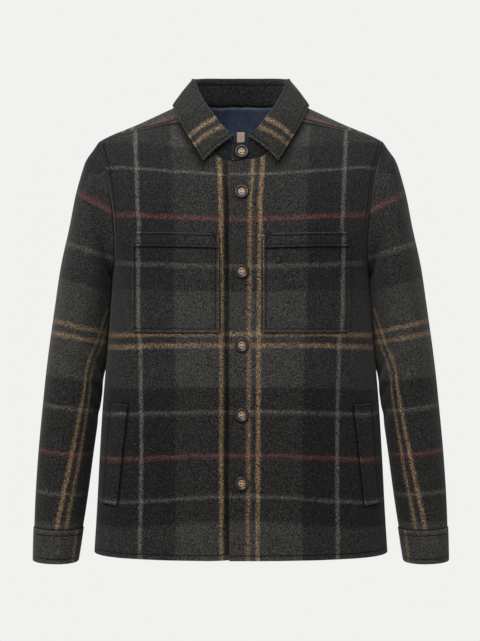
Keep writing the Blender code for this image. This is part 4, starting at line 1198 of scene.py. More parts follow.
class Finish:
    """A material with a call for each kind of node that the finishes use."""

    def __init__(self, name, values):
        self.material = bpy.data.materials.new(name)
        self.material.use_nodes = True
        self.nodes = self.material.node_tree.nodes
        self.shader = self.nodes["Principled BSDF"]
        self.where = self.new("TexCoord").outputs["Object"]
        for socket, value in values.items():
            self.shader.inputs[socket].default_value = value

    def new(self, kind):
        return self.nodes.new("ShaderNode" + kind)

    def put(self, value, socket):
        """Sets a socket to a constant, or links it to another node."""
        if isinstance(value, (int, float, tuple)):
            socket.default_value = value
        else:
            self.material.node_tree.links.new(value, socket)

    def maths(self, kind, *values, clamp=False):
        node = self.new("Math")
        node.operation = kind
        node.use_clamp = clamp
        for value, socket in zip(values, node.inputs):
            self.put(value, socket)
        return node.outputs[0]

    def plus(self, a, b, clamp=False):
        return self.maths("ADD", a, b, clamp=clamp)

    def minus(self, a, b, clamp=False):
        return self.maths("SUBTRACT", a, b, clamp=clamp)

    def times(self, a, b, clamp=False):
        return self.maths("MULTIPLY", a, b, clamp=clamp)

    def over(self, a, b, clamp=False):
        return self.maths("DIVIDE", a, b, clamp=clamp)

    def swing(self, grain, gain, middle=0.5, clamp=False):
        """A grain moved to swing about 0, and made stronger."""
        return self.times(self.minus(grain, middle), gain, clamp)

    def less(self, value, gain, clamp=False):
        """1 less a share of the value."""
        return self.minus(1.0, self.times(value, gain), clamp)

    def mix(self, factor, a, b, kind="MIX"):
        node = self.new("Mix")
        node.data_type = "RGBA"
        node.blend_type = kind
        for socket, value in (("Factor", factor), ("A", a), ("B", b)):
            self.put(value, node.inputs[socket])
        return node.outputs["Result"]

    def darkened(self, colour, tone):
        """The colour times a grey tone."""
        grey = self.new("CombineColor")
        for socket in grey.inputs:
            self.put(tone, socket)
        return self.mix(1.0, colour, grey.outputs[0], "MULTIPLY")

    def noise(self, scale, detail=2.0, rough=0.6):
        node = self.new("TexNoise")
        for socket, value in (("Scale", scale), ("Detail", detail), ("Roughness", rough)):
            node.inputs[socket].default_value = value
        self.put(self.where, node.inputs["Vector"])
        return node.outputs["Fac"]

    def ramp(self, at, stops):
        node = self.new("ValToRGB")
        elements = node.color_ramp.elements
        elements.remove(elements[0])
        for i, (place, colour) in enumerate(stops):
            element = elements.new(place) if i else elements[0]
            element.position = place
            element.color = colour
        self.put(at, node.inputs["Fac"])
        return node.outputs

    def finish(self, colour, height, strength, distance):
        """The material with its colour and its raised grain."""
        bump = self.new("Bump")
        bump.inputs["Strength"].default_value = strength
        bump.inputs["Distance"].default_value = distance
        self.put(height, bump.inputs["Height"])
        self.put(bump.outputs["Normal"], self.shader.inputs["Normal"])
        self.put(colour, self.shader.inputs["Base Color"])
        return self.material


def yarn_profile(wool, run, span, bands, stripes):
    """The ground's colour at a place along the cloth, and the lines drawn over it."""
    low, length = span[0], span[1] - span[0]
    at = wool.over(wool.minus(run, low), length, clamp=True)
    stops = []
    before = bands[0]
    for band in bands:
        for yarn, offset in ((before.yarn, -BAND_BLUR), (band.yarn, BAND_BLUR)):
            stops.append((max((band.start + offset - low) / length, 0.0), (*YARNS[yarn], 1)))
        before = band
    ground = wool.ramp(at, stops)["Color"]
    lines = []
    for chosen in (stripes[:8], stripes[8:]):
        stops = []
        for stripe in chosen:
            half, soft = stripe.width / 2, STRIPE_BLUR
            for offset, alpha in ((-half - soft, 0), (soft - half, 1), (half - soft, 1), (half + soft, 0)):
                stops.append(((stripe.at + offset - low) / length, (*YARNS[stripe.yarn], alpha)))
        if stops:
            lines.append(wool.ramp(at, stops))
    return ground, lines


def plaid_colour(wool, warp_run, weft_run):
    """The colour where the warp and the weft cross, as fuzzy brushed yarns."""
    drift = wool.swing(wool.noise(31, 1, 0.5), YARN_DRIFT)
    yarns = []
    for run, scale, span, bands, stripes in (
        (warp_run, 470, WARP_SPAN, WARP_BANDS, WARP_STRIPES),
        (weft_run, 397, WEFT_SPAN, WEFT_BANDS, WEFT_STRIPES),
    ):
        place = wool.plus(wool.plus(run, wool.swing(wool.noise(scale), YARN_FUZZ)), drift)
        yarns.append(yarn_profile(wool, place, span, bands, stripes))
    tones = []
    for ground, _ in yarns:
        parts = wool.new("SeparateColor")
        wool.put(ground, parts.inputs[0])
        tones.append(parts.outputs["Green"])
    apart = wool.maths("ABSOLUTE", wool.minus(*tones))
    crossed = wool.less(wool.over(apart, wool.plus(*tones)), CROSSED_SHADE)
    colours = []
    for ground, lines in yarns:
        drawn = wool.darkened(ground, crossed)
        for line in lines:
            drawn = wool.mix(line["Alpha"], drawn, line["Color"])
        colours.append(drawn)
    share = wool.plus(wool.swing(wool.noise(820), WEAVE_GAIN), WARP_SHARE, clamp=True)
    return wool.mix(share, *colours)


def button_shade(wool, tone):
    """The tone with a soft shadow under each button."""
    for spot, _ in button_spots():
        apart = wool.new("VectorMath")
        apart.operation = "DISTANCE"
        wool.put(wool.where, apart.inputs[0])
        apart.inputs[1].default_value = tuple(spot + np.array(BUTTON_SHADE_OFFSET))
        near = wool.minus(apart.outputs["Value"], BUTTON_RADIUS - BUTTON_SHADE_INSET)
        near = wool.over(near, BUTTON_SHADE_WIDTH, clamp=True)
        tone = wool.times(tone, wool.plus(wool.times(near, 1 - BUTTON_SHADE_LOW), BUTTON_SHADE_LOW))
    return tone


def wool_material(name):
    """Brushed wool: fuzzy crossing stripes, flecked yarn, a raised nap and sewn grooves, with painted
    shade in the grooves, at seams, beside sewn-on pieces and under the buttons, and painted highlights
    along edges.
    """
    wool = Finish(name, WOOL_FINISH)
    cloth = wool.new("UVMap")
    cloth.uv_map = "cloth"
    split = wool.new("SeparateXYZ")
    wool.put(cloth.outputs["UV"], split.inputs[0])
    warp_run, weft_run = split.outputs[0], split.outputs[1]
    colour = plaid_colour(wool, warp_run, weft_run)
    fleck, cloud = wool.noise(690, 2, 0.65), wool.noise(55, 2, 0.5)
    flecked = wool.maths("MAXIMUM", wool.plus(wool.swing(fleck, FLECK_GAIN), 1.0), FLECK_LOW)
    tone = wool.times(flecked, wool.plus(wool.times(cloud, CLOUD_GAIN), 1 - CLOUD_GAIN / 2))
    hair = wool.swing(wool.noise(760, 1, 0.5), HAIR_GAIN, HAIR_FROM, clamp=True)
    colour = wool.mix(wool.times(hair, HAIR_SHARE), colour, HAIR)
    mark = wool.new("Attribute")
    mark.attribute_name = "seam"
    seam = mark.outputs["Fac"]
    # Painted shade: the tone is darkened where the seam attribute is near 1, in grooves and along shadow
    # lines
    off = wool.maths("ABSOLUTE", wool.minus(seam, 1.0))
    groove_and_painted_shade = wool.less(off, GROOVE_NARROW, clamp=True)
    tone = wool.times(tone, wool.less(groove_and_painted_shade, GROOVE_SHADE))
    # Painted highlight: the tone is lightened near the edges, where the seam attribute is under 0.67
    edge = wool.less(seam, EDGE_NARROW, clamp=True)
    tone = wool.times(tone, wool.plus(1.0, wool.times(edge, EDGE_PAINTED_HIGHLIGHT)))
    run = wool.plus(warp_run, weft_run)
    dash = wool.maths("SINE", wool.times(run, 2 * math.pi / STITCH_LENGTH))
    dash = wool.times(wool.plus(dash, DASH_SHIFT), DASH_GAIN, clamp=True)
    stitch = wool.times(wool.less(off, STITCH_NARROW, clamp=True), dash)
    tone = button_shade(wool, wool.plus(tone, wool.times(stitch, STITCH_LIGHT)))
    nap = wool.plus(fleck, wool.times(cloud, NAP_CLOUD))
    nap = wool.plus(wool.minus(nap, wool.times(groove_and_painted_shade, NAP_GROOVE)), wool.times(stitch, NAP_STITCH))
    nap = wool.plus(nap, wool.times(wool.noise(17, 1, 0.5), UNEVEN))
    return wool.finish(wool.darkened(colour, tone), nap, NAP_STRENGTH, NAP_HEIGHT)


def plain_material(name, colour, roughness, scale, depth, contrast, sheen):
    """A finish with fine grain in its colour and its bump."""
    values = {"Roughness": roughness, "Specular IOR Level": 0.30, "Sheen Weight": sheen}
    plain = Finish(name, values)
    grain = plain.noise(scale, 3)
    low = tuple(c * (1 - contrast) for c in colour)
    high = tuple(min(c * (1 + contrast), 1) for c in colour)
    return plain.finish(plain.mix(grain, (*low, 1), (*high, 1)), grain, 0.5, depth)


# Body, sleeves and cuffs


def armhole_normals(loop, sleeve):
    """Directions of the body's and of the sleeve's cloth along the seam between them."""
    normal = grid_normals(sleeve, True)
    centre = sleeve.mean(axis=1, keepdims=True)
    normal *= np.sign(np.sum(normal * (sleeve - centre), axis=(1, 2)))[:, None, None]
    body_side = body_normal(loop)
    leaving = unit(sleeve[2] - sleeve[0])
    ridge_share = np.clip(0.25 - np.sum(leaving * body_side, axis=1) * 1.5, 0, 1)[:, None]
    seam = unit(body_side + normal[0] * ridge_share)
    sleeve_seam = unit(normal[0] + body_side * ridge_share)
    for _ in range(12):
        seam, sleeve_seam = evened(seam), evened(sleeve_seam)
    fade = np.clip(1 - np.arange(6) / 5, 0, 1)[:, None, None]
    normal[:6] = unit(normal[:6] * (1 - fade) + sleeve_seam[None] * fade)
    return seam, normal


def body_normals(front, back, seam):
    """Directions of both fronts' and the back's cloth, the same on both sides of each seam."""
    front_normal, back_normal = body_normal(front), body_normal(back)
    side = unit(front_normal[:SIDE_ROWS, -1] + back_normal[:SIDE_ROWS, -1])
    rows = ARMHOLE_ROWS + 1
    front_normal[:, -1] = np.concatenate([side, seam[:rows][::-1]])
    back_normal[:, -1] = np.concatenate([side, seam[rows - 1 :], seam[:1]])
    back_normal[:, 0] = flipped(back_normal[:, -1])
    return front_normal, back_normal


def front_seams_and_painted_shade(left):
    """Where a front's stitches and seams lie, with the painted shade beside what is sewn on it and under
    the collar leaf's edge.
    """
    armhole = np.maximum(1 + (from_edge(left, "right") - ARMHOLE_STITCH) / SEAM_SHADE, EDGE_SEAM)
    armhole[: SIDE_ROWS - 2] = NO_SEAM
    shoulder = np.maximum(from_edge(left, "top") / SHOULDER_STITCH, EDGE_SEAM)
    shoulder[:, : NECK_COLUMNS + 1] = NO_SEAM
    seam = np.minimum(seam_field(left, (("bottom", HEM_STITCH),)), np.minimum(armhole, shoulder))
    # Painted shadow lines round the pockets and the side welts
    welt = welt_corners() + np.array([[[0, 0], [WELT_OVERHANG, 0]]] * 2)
    for corners, shade in ((pocket_corners(), PATCH_SHADE), (welt, WELT_SHADE)):
        seam = np.minimum(seam, beside_patch(left, corners, shade))
    # Painted shadow on the front under the collar leaf's edge
    edge = form(along_table(LEAF_EDGE)(np.linspace(0, 1, 120)))
    under_leaf = np.min(np.linalg.norm(left[..., None, :] - edge, axis=-1), axis=-1)
    return np.minimum(seam, 1 + under_leaf / LEAF_SHADE)


def build_fronts(wool, front, points, normal):
    left = trimmed(points, ("right", "top"), SEAM_GAP * 0.6)
    seam, weft = front_seams_and_painted_shade(left), front_weft(left)
    looks = {"cut": (0.30, 0.73), "rims": ("bottom", "left")}
    fields = fields_of(left, normal, front_warp(front, left, "left"), weft, seam)
    add_cloth("left_front", "front_left", fields, CLOTH, wool, **looks)
    right, normal = flipped(left), flipped(normal)
    right = right - normal * underlap(right)
    beside = right[..., 0] + RECESS_AT
    right = right - normal * (RECESS * np.exp(-((beside / RECESS_WIDTH) ** 2)))[..., None]
    warp = front_warp(front, left, "right")
    hidden = np.clip((COVERED_FROM - left[..., 2]) / COVERED_FADE, 0, 1)
    plain = np.maximum(warp, PLAIN_WARP * hidden - (1 - hidden))
    warp = np.where(warp < COVERED_WARP, plain, warp)
    # Painted shade in the recess beside the left front's edge, drawn as a dark band through the seam
    # attribute
    painted_recess_shade = 1 + np.abs(right[..., 0] + RECESS_AT) / UNDERLAP_SHADE
    fields = fields_of(right, normal, warp, weft, np.minimum(seam, painted_recess_shade))
    add_cloth("right_front", "front_right", fields, CLOTH, wool, **looks)
    return left


def build_back(wool, back, normal):
    points = trimmed(form(back), ("left", "right", "top"), SEAM_GAP * 0.6)
    keep = np.ones((points.shape[0] - 1, points.shape[1] - 1), bool)
    keep[-OVER_ROWS:, SHOULDER_COLUMNS:-SHOULDER_COLUMNS] = False
    # Painted shade in the hem's stitch groove and along the top seam, with a painted highlight at the
    # hem's edge
    seam = np.minimum(from_edge(points, "bottom") / HEM_STITCH, 1 + from_edge(points, "top") / SEAM_SHADE)
    fields = fields_of(points, normal, back_warp(back, points), back_weft(points), seam)
    add_cloth("back_panel", "back", fields, CLOTH, wool, (0.66, 0.80), ("bottom",), keep=keep)
    return points


def build_sleeves(wool, sleeve, normal, around):
    points = against_body(press_sleeve_folds(sleeve, normal, around))
    points = trimmed(points, ("bottom",), SEAM_GAP * 0.6)
    # Painted shade along the armhole seam at the sleeve's top
    looks = sleeve_warp(points), sleeve_weft(points), 1 + from_edge(points, "bottom") / SEAM_SHADE
    for side, turn in (("left", np.array), ("right", flipped)):
        fields = fields_of(turn(points), turn(normal), *looks)
        add_cloth(side + "_sleeve", "sleeve_" + side, fields, CLOTH, wool, (0.50, 0.64), closed=True)


def build_cuffs(wool, around):
    cuff = lofted(np.array([ring_shape(ring, around) for ring in CUFF_RINGS]), CUFF_ROWS)
    normal = grid_normals(cuff, True)
    centre = cuff.mean(axis=1, keepdims=True)
    normal *= np.sign(np.sum(normal * (cuff - centre)))
    cuff = cuff + np.array([0, 0, -SEAM_GAP * 2])
    angle = np.arctan2(-(cuff - centre)[..., 1], (cuff - centre)[..., 0])
    gone = np.abs(angle - math.radians(CUFF_STRIPE_ANGLE)) * CUFF_RADIUS
    past = CUFF_STRIPE_STEEP * np.maximum(gone - CUFF_STRIPE_RUN, 0)
    warp = np.maximum(WARP_STRIPES[0].at - gone - past, CUFF_WARP_END)
    looks = warp, cuff[..., 2], seam_field(cuff, (("bottom", CUFF_STITCH), ("top", CUFF_STITCH)))
    rims = ("bottom", "top")
    for side, turn in (("left", np.array), ("right", flipped)):
        fields = fields_of(turn(cuff), turn(normal), *looks)
        add_cloth(side + "_cuff", "cuff_" + side, fields, FACED_CLOTH, wool, (0.27, 0.052), rims, True)


# Collar


def halved(points):
    """The points with one more in the middle of each step."""
    found = np.repeat(points, 2, axis=0)[:-1]
    found[1::2] = (points[:-1] + points[1:]) / 2
    return found


def neck_half(front, back):
    """Points along the left half of the neck's edge, from the centre front to the centre back."""
    front_run = front[-1, 1 : NECK_COLUMNS + 1]
    corner = back.shape[1] // 2 + BACK_NECK_COLUMNS
    over_run = back[-OVER_ROWS - 1 :, corner][::-1]
    back_run = back[-OVER_ROWS - 1, back.shape[1] // 2 : corner + 1][::-1]
    return np.concatenate([halved(joined(front_run, over_run)), back_run[1:]])


def run_share(points):
    run = run_of(points)
    return run / run[-1]


def whole_line(half, tab):
    """A line round the neck from its left half, with a tab past each end."""
    line = np.concatenate([flipped(half), half[-2::-1]])
    return np.concatenate([line[:1] + tab, line, line[-1:] + flipped(np.array(tab))])


def stand_grid(base_half):
    """Grid of points of the band round the neck, and the directions square to it."""
    top_half = spline(STAND_TOP, run_share(base_half))
    base_half = base_half + unit(top_half - base_half) * STAND_LIFT
    t = np.linspace(0, 1, STAND_ROWS + 1)[:, None, None]
    grid = (1 - t) * whole_line(base_half, STAND_TAB) + t * whole_line(top_half, STAND_TOP_TAB)
    normal = grid_normals(grid)
    return grid, normal * np.sign(np.sum(normal * (grid - np.array([0, -0.015, 0]))))


def build_stand(wool, stand, normal):
    front = stand[0, :, 1] < -0.05
    right_half = np.arange(stand.shape[1]) < stand.shape[1] // 2
    sink = through(SINK, stand[0, :, 0]) * front * right_half
    sunk = stand - normal * sink[None, :, None]
    rows = (("bottom", NARROW_STITCH), ("left", STAND_STITCH), ("right", STAND_STITCH))
    # The band is given the plaid's dark crossing as painted shade
    warp = np.full(stand.shape[:2], STAND_WARP)
    fields = fields_of(sunk, normal, warp, STAND_WEFT + run_along(stand, 0), seam_field(sunk, rows))
    rims = ("left", "right", "top")
    add_cloth("neck_band", "collar_stand", fields, STAND_CLOTH, wool, (0.52, 0.040), rims)


def leaf_start(stand, normal):
    """Where the leaf leaves the band: the band's top edge from the front to the centre back."""
    half = stand.shape[1] // 2
    top, out = stand[-1, half:-1][::-1], normal[-1, half:-1][::-1]
    share = run_share(top)
    past = int(np.argmax(top[:, 0] > LEAF_START))
    start = np.interp(LEAF_START, top[past - 1 : past + 1, 0], share[past - 1 : past + 1])
    at = start + (1 - start) * np.linspace(0, 1, LEAF_COLUMNS)
    top, out = (np.stack([np.interp(at, share, line[:, i]) for i in range(3)], -1) for line in (top, out))
    return top, unit(out)


def leaf_half(top, out):
    """Half the leaf: up from the band, over the roll and down to its edge on the shoulder."""
    fine = np.linspace(0, 1, LEAF_COLUMNS)
    edge = along_table(LEAF_EDGE)
    dividing = even(lambda t: form(edge(t)), 100)
    places = edge(np.interp(fine, np.linspace(0, 1, 101), dividing))
    lower = form(places) + body_normal(places) * LEAF_LIFT
    roll = spline(ROLL_LINE, fine)
    tangent = np.gradient(roll, axis=0)
    away = unit(np.stack([-tangent[:, 1], tangent[:, 0], tangent[:, 0] * 0], axis=-1))
    away *= np.sign(np.sum(away * out, axis=1))[:, None]
    away[-1] = (0, 1, 0)
    up = np.array([0, 0, 1.0])
    rows = [top - out * STAND_CLOTH + up * LAYER_GAP * 2]
    for turn in np.linspace(0, math.pi, LEAF_TURN_STEPS):
        around = up * math.sin(turn) - away * math.cos(turn)
        rows.append(roll - up * LEAF_TURN + around * LEAF_TURN)
    fall = rows[-1]
    for down in np.linspace(0, 1, LEAF_FALL_STEPS + 1)[1:]:
        bulge = float(through(LEAF_FALL, down))
        rows.append(fall + (lower - fall) * down + (away * LEAF_BULGE_AWAY + up * LEAF_BULGE_UP) * bulge)
    return np.array(rows)


def build_leaf(wool, stand, stand_normal):
    top, out = leaf_start(stand, stand_normal)
    grid = leaf_half(top, out)
    run, down = run_along(grid, 1), run_along(grid, 0)
    down = np.clip(down / down[-1:], 0, 1)
    along = run[LEAF_TURN_STEPS][None] * (1 - down) + (run[-1][None] - LEAF_EDGE_SHIFT) * down
    warp = np.minimum(LEAF_WARP + (along - LEAF_WARP_AT) * LEAF_STRETCH, LEAF_WARP_END)
    # The dark weft band here is painted shade
    weft = LEAF_WEFT + np.clip(from_edge(grid, "top"), 0, LEAF_WEFT_RUN)
    grid = mirrored(grid)
    warp, weft = (mirrored(values, np.array) for values in (warp, weft))
    normal = grid_normals(grid)
    if np.sum(normal[-2] * (grid[-2] - np.array([0, -0.015, -0.05]))) < 0:
        normal = -normal
    normal[0] = -mirrored(out[None])[0]
    rims = ("left", "right", "top")
    seam = seam_field(grid, [(side, LEAF_STITCH) for side in rims])
    fields = fields_of(grid, normal, warp, weft, seam)
    add_cloth("turned_collar", "collar_leaf", fields, LEAF_CLOTH, wool, (0.50, 0.105), rims)


# Pockets: corners are the lower pair and the upper pair, each from the centre front outwards


def pocket_corners():
    bottom = ((POCKET_NEAR, POCKET_BOTTOM), (POCKET_FAR, POCKET_BOTTOM))
    top = ((POCKET_NEAR, POCKET_NEAR_TOP - POCKET_TUCK), (POCKET_FAR, POCKET_TOP - POCKET_TUCK))
    return np.array([bottom, top])


def band_corners():
    rows = []
    for (near, far), rise in ((BAND_LOW_INSETS, -BAND_HEIGHT), (BAND_TOP_INSETS, BAND_RISE)):
        rows.append(((POCKET_NEAR + near, POCKET_NEAR_TOP + rise), (POCKET_FAR - far, POCKET_TOP + rise)))
    return np.array(rows)


def welt_corners():
    return np.array([WELT_BOTTOM, WELT_TOP])


def beside_patch(points, corners, shade):
    """1 in the shade beside the edges of a patch sewn on, more away from it and less under it."""
    (a, b), (d, c) = corners
    places = np.stack([np.abs(points[..., 0]), points[..., 2]], -1)
    outside = np.full(points.shape[:2], -1.0)
    for start, end in ((a, b), (b, c), (c, d), (d, a)):
        along = unit(end - start)
        outside = np.maximum(outside, (places - start) @ np.array([along[1], -along[0]]))
    return 1 + (outside - PATCH_SHADE_AT) / shade


def patch_fields(corners, columns, rows, lift, side, stitches, drift=0.0):
    """A patch sewn on a front, crowned between its rows of stitches."""
    s = np.linspace(0, 1, columns + 1)[None, :, None]
    t = np.linspace(0, 1, rows + 1)[:, None, None]
    low, high = ((1 - s) * near + s * far for near, far in corners)
    places = body_place(*np.moveaxis((1 - t) * low + t * high, -1, 0), True)
    points, normal = form(places), body_normal(places)
    warp, weft = front_warp(places, points, side) - drift, front_weft(points)
    if side == "right":
        points, normal = flipped(points), flipped(normal)
        points = points - normal * underlap(points)
    seam = seam_field(points, stitches)
    puff = np.where(seam < 1, PATCH_PUFF * np.sin(math.pi * np.clip(seam, 0, 1)), 0.0)
    dent = PATCH_DENT * np.exp(-(((seam - 1) / PATCH_DENT_WIDTH) ** 2))
    return fields_of(points + normal * (lift + puff - dent)[..., None], normal, warp, weft, seam)


def build_pockets(wool):
    lift = LAYER_GAP + POCKET_CLOTH + PATCH_LIFT
    sides = ("bottom", "top", "left", "right")
    edges = [(side, POCKET_STITCH) for side in ("bottom", "left", "right")]
    ends = [(side, NARROW_STITCH) for side in ("bottom", "top", "left")]
    for side in ("left", "right"):
        pocket = patch_fields(pocket_corners(), 100, 110, lift, side, edges, POCKET_DRIFT[side])
        # Painted shadow line on the pocket round the band's lower edge and ends
        pocket[..., 8] = np.minimum(pocket[..., 8], beside_patch(pocket, band_corners(), PATCH_SHADE))
        band = patch_fields(band_corners(), 80, 18, lift * 2, side, ends[:2], BAND_DRIFT[side])
        welt = patch_fields(welt_corners(), 20, 90, lift, side, ends)
        # Painted highlight over the side welt's whole face, strongest at its edges, with no groove shade
        welt[..., 8] = np.minimum(welt[..., 8] * WELT_FALL, WELT_PAINTED_HIGHLIGHT)
        for name, node, fields, cut in (
            ("_pocket", "pocket_", pocket, (0.152, 0.160)),
            ("_pocket_welt", "pocket_band_", band, (0.146, 0.024)),
            ("_side_welt", "welt_", welt, (0.042, 0.162)),
        ):
            add_cloth(side + name, node + side, fields, POCKET_CLOTH, wool, cut, sides)


# Inside


def build_lining(satin, points, normal):
    """The lining across the upper back, which shows through the neck."""
    rows = points.shape[0] - OVER_ROWS
    low = int(np.argmin(np.abs(points[:rows, points.shape[1] // 2, 2] + LINING_DEPTH)))
    edge = SHOULDER_COLUMNS // 3
    faces = []
    for deep in (CLOTH + LINING_GAP, CLOTH + LINING_GAP + LINING_CLOTH):
        face = (points - normal * deep)[low:rows, edge:-edge]
        faces.append(trimmed(face[:, 2:-2], ("top",), LINING_INSET))
    grid, normal = faces[0], (faces[0] - faces[1]) / LINING_CLOTH
    fields = fields_of(grid, normal, grid[..., 0], grid[..., 2], np.full(grid.shape[:2], NO_SEAM))
    add_cloth("lining_of_back", "back_lining", fields, LINING_CLOTH, satin, (0.44, 0.42))
    return faces[1]


def build_label(tape, inside):
    """A plain scrap of tape on the lining, under the neck seam."""
    column = inside[:, inside.shape[1] // 2]
    z, x = np.meshgrid(
        np.linspace(LABEL_TOP - LABEL_HEIGHT, LABEL_TOP, 12),
        np.linspace(-LABEL_WIDTH / 2, LABEL_WIDTH / 2, 10),
        indexing="ij",
    )
    y = np.interp(z, column[:, 2], column[:, 1]) - LABEL_CLOTH - LAYER_GAP * 1.5
    grid = np.stack([x, y, z], -1)
    seam = seam_field(grid, (("bottom", LABEL_STITCH), ("top", LABEL_STITCH)))
    fields = fields_of(grid, np.zeros_like(grid) + np.array([0, -1.0, 0]), x, z, seam)
    add_cloth("label_scrap", "neck_label", fields, LABEL_CLOTH, tape, (0.013, 0.016))


# Buttons


def circle(sides):
    angle = np.linspace(0, 2 * math.pi, sides, endpoint=False)
    return np.stack([np.cos(angle), np.sin(angle)], -1)


def turned_mesh(outline, sides, place=(0, 0)):
    """A button's outline turned round an axis that stands at a place on its face."""
    profile = np.array(outline) * (BUTTON_RADIUS, BUTTON_THICK)
    points = [np.concatenate([circle(sides) * r, np.full((sides, 1), z)], 1) for r, z in profile[1:-1]]
    points = np.concatenate([[[0, 0, profile[0, 1]]], *points, [[0, 0, profile[-1, 1]]]])
    starts = [1 + row * sides for row in range(len(profile) - 2)]
    faces = []
    for k in range(sides):
        n = (k + 1) % sides
        faces += [(0, 1 + k, 1 + n), (starts[-1] + k, len(points) - 1, starts[-1] + n)]
        faces += [(a + k, a + sides + k, a + sides + n, a + n) for a in starts[:-1]]
    return points + np.array([*place, 0]), faces


def tube(points, radius, sides=8):
    tangent = unit(np.gradient(points, axis=0))
    side = unit(np.cross(tangent, np.array([0.31, 0.17, 0.93])))
    other = np.cross(tangent, side)
    c, s = circle(sides).T[:, None, :, None]
    rings = points[:, None] + radius * (side[:, None] * c + other[:, None] * s)
    faces = []
    for i in range(len(points) - 1):
        for j in range(sides):
            a, b = i * sides + j, i * sides + (j + 1) % sides
            faces.append((a, b, b + sides, a + sides))
    ends = tuple(range(sides))
    faces += [ends[::-1], tuple((len(points) - 1) * sides + j for j in ends)]
    return rings.reshape(-1, 3), faces


def thread(side, shift):
    """One strand between two holes, bowed to one side and up."""
    t = np.linspace(0, 1, 15)
    bow = np.sin(math.pi * t)
    x = side * HOLE_OFFSET * THREAD_INSET + shift * bow
    y = HOLE_OFFSET * THREAD_INSET * (1 - 2 * t)
    dip = THREAD_DIP * (np.abs(t - 0.5) > THREAD_END)
    z = BUTTON_THICK * THREAD_LEVEL + THREAD_RISE * bow**0.5 - dip
    return tube(np.stack([x, y, z], -1), THREAD_RADIUS)


def joined_mesh(name, parts, material):
    points, faces, start = [], [], 0
    for part_points, part_faces in parts:
        points.append(part_points)
        faces += [tuple(v + start for v in face) for face in part_faces]
        start += len(part_points)
    mesh = bpy.data.meshes.new(name)
    mesh.from_pydata(np.concatenate(points).tolist(), [], faces)
    mesh.materials.append(material)
    mesh.shade_smooth()
    return mesh


def button_spots():
    """Each button's place on the front, and the way it faces."""
    spots = [tuple(np.array(values) for values in NECK_BUTTON)]
    for z in BUTTON_HEIGHTS:
        here = body_place(BUTTON_X, z, True)[None]
        spots.append((form(here)[0], body_normal(here)[0]))
    return spots


def facing(point, normal, turn):
    z = Vector(normal).normalized()
    x = Vector((0, 0, 1)).cross(z).normalized()
    matrix = Matrix((x, z.cross(x), z)).transposed().to_4x4()
    matrix.translation = Vector(point)
    return matrix @ Matrix.Rotation(math.radians(turn), 4, "Z")


def build_buttons(rim, centre, yarn, dark):
    corners = ((1, 1), (1, -1), (-1, 1), (-1, -1))
    holes = [turned_mesh(BUTTON_HOLE, 16, np.array(corner) * HOLE_OFFSET) for corner in corners]
    strands = [thread(side, shift) for side in (1, -1) for shift in (-THREAD_SPREAD, THREAD_SPREAD)]
    kinds = (
        ("rim", [turned_mesh(BUTTON_RIM, 64)], rim),
        ("face", [turned_mesh(BUTTON_FACE, 48)], centre),
        ("thread", strands, yarn),
        # The holes' near-black finish is painted shade
        ("holes", holes, dark),
        ("shank", [turned_mesh(BUTTON_SHANK, 16)], yarn),
    )
    for i, (point, normal) in enumerate(button_spots()):
        matrix = facing(point + normal * BUTTON_LIFT, normal, BUTTON_TURNS[i])
        for name, parts, material in kinds:
            mesh = joined_mesh(f"{name}_{i + 1}", parts, material)
            mesh.transform(matrix)
            piece = placed(f"button_{name}_{i + 1}", mesh)
            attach(piece, "root")
            if name == "rim":
                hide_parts(f"button_{i + 1}")


# Stage


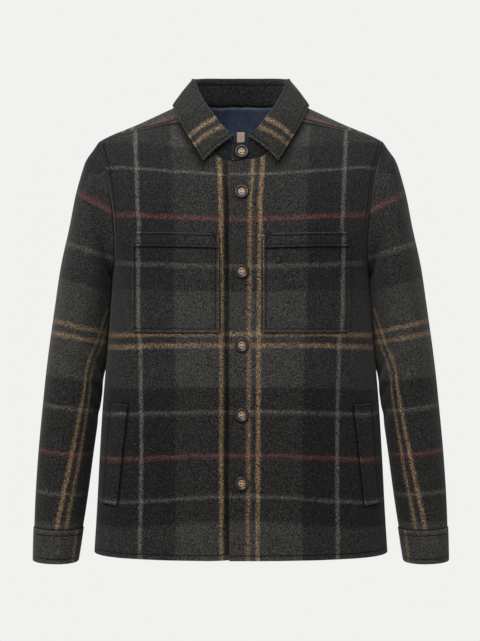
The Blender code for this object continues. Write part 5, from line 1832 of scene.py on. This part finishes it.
def build_stage():
    """A pale floor that curves up into a pale wall."""
    profile = [(-FLOOR_HALF_WIDTH, 0.0), (FLOOR_BACK, 0.0)]
    for angle in range(0, 91, 6):
        turn = math.radians(angle)
        profile.append((FLOOR_BACK + BEND * math.sin(turn), BEND - BEND * math.cos(turn)))
    profile.append((FLOOR_BACK + BEND, WALL_TOP))
    points = [(x, y, z + FLOOR) for y, z in profile for x in (-FLOOR_HALF_WIDTH, FLOOR_HALF_WIDTH)]
    faces = [(2 * i, 2 * i + 1, 2 * i + 3, 2 * i + 2) for i in range(len(profile) - 1)]
    mesh = bpy.data.meshes.new("sweep")
    mesh.from_pydata(points, [], faces)
    mesh.shade_smooth()
    values = {"Base Color": (0, 0, 0, 1), "Roughness": 0.9, "Specular IOR Level": 0.0}
    paper = Finish("paper", {**values, "Emission Color": PAPER, "Emission Strength": 1.0})
    mesh.materials.append(paper.material)
    sweep = placed("sweep", mesh)
    sweep.visible_diffuse = False


def build_lights():
    for row in LAMPS:
        light = bpy.data.lights.new(row.name, "AREA")
        light.shape = "RECTANGLE"
        light.size, light.size_y = row.size
        light.energy = row.power
        lamp = placed(row.name, light)
        lamp.location = row.place
        aim = Vector(GARMENT_MIDDLE) - Vector(row.place)
        lamp.rotation_euler = aim.to_track_quat("-Z", "Y").to_euler()
    world = bpy.data.worlds.new("studio")
    world.use_nodes = True
    world.node_tree.nodes["Background"].inputs["Color"].default_value = (1, 1, 1, 1)
    world.node_tree.nodes["Background"].inputs["Strength"].default_value = WORLD_LIGHT
    bpy.context.scene.world = world


def build_camera():
    camera = placed("camera", bpy.data.cameras.new("camera"))
    camera.data.lens = CAMERA_LENS
    camera.data.sensor_width = CAMERA_SENSOR
    camera.location = CAMERA_PLACE
    camera.rotation_euler = (math.pi / 2, 0, 0)
    bpy.context.scene.camera = camera


def build_garment(wool):
    """The cloth of the outside. Returns the back's points and directions, for the lining."""
    front, back = front_places(), back_places()
    loop = np.concatenate([front[SIDE_ROWS:, -1][::-1], back[SIDE_ROWS + 1 : -1, -1]])
    sleeve, around = sleeve_grid(loop)
    seam, sleeve_normal = armhole_normals(loop, sleeve)
    front_normal, back_normal = body_normals(front, back, seam)
    left = build_fronts(wool, front, form(front), front_normal)
    points = build_back(wool, back, back_normal)
    build_sleeves(wool, sleeve, sleeve_normal, around)
    build_cuffs(wool, around)
    stand, stand_normal = stand_grid(neck_half(left, points))
    build_stand(wool, stand, stand_normal)
    build_leaf(wool, stand, stand_normal)
    build_pockets(wool)
    return points, back_normal


def main():
    build_camera()
    build_stage()
    build_lights()
    bpy.context.scene.view_settings.view_transform = "Standard"
    satin, tape, rim, centre, yarn, dark = (plain_material(*row) for row in FINISHES)
    inside = build_lining(satin, *build_garment(wool_material("plaid_wool")))
    build_label(tape, inside)
    build_buttons(rim, centre, yarn, dark)


main()
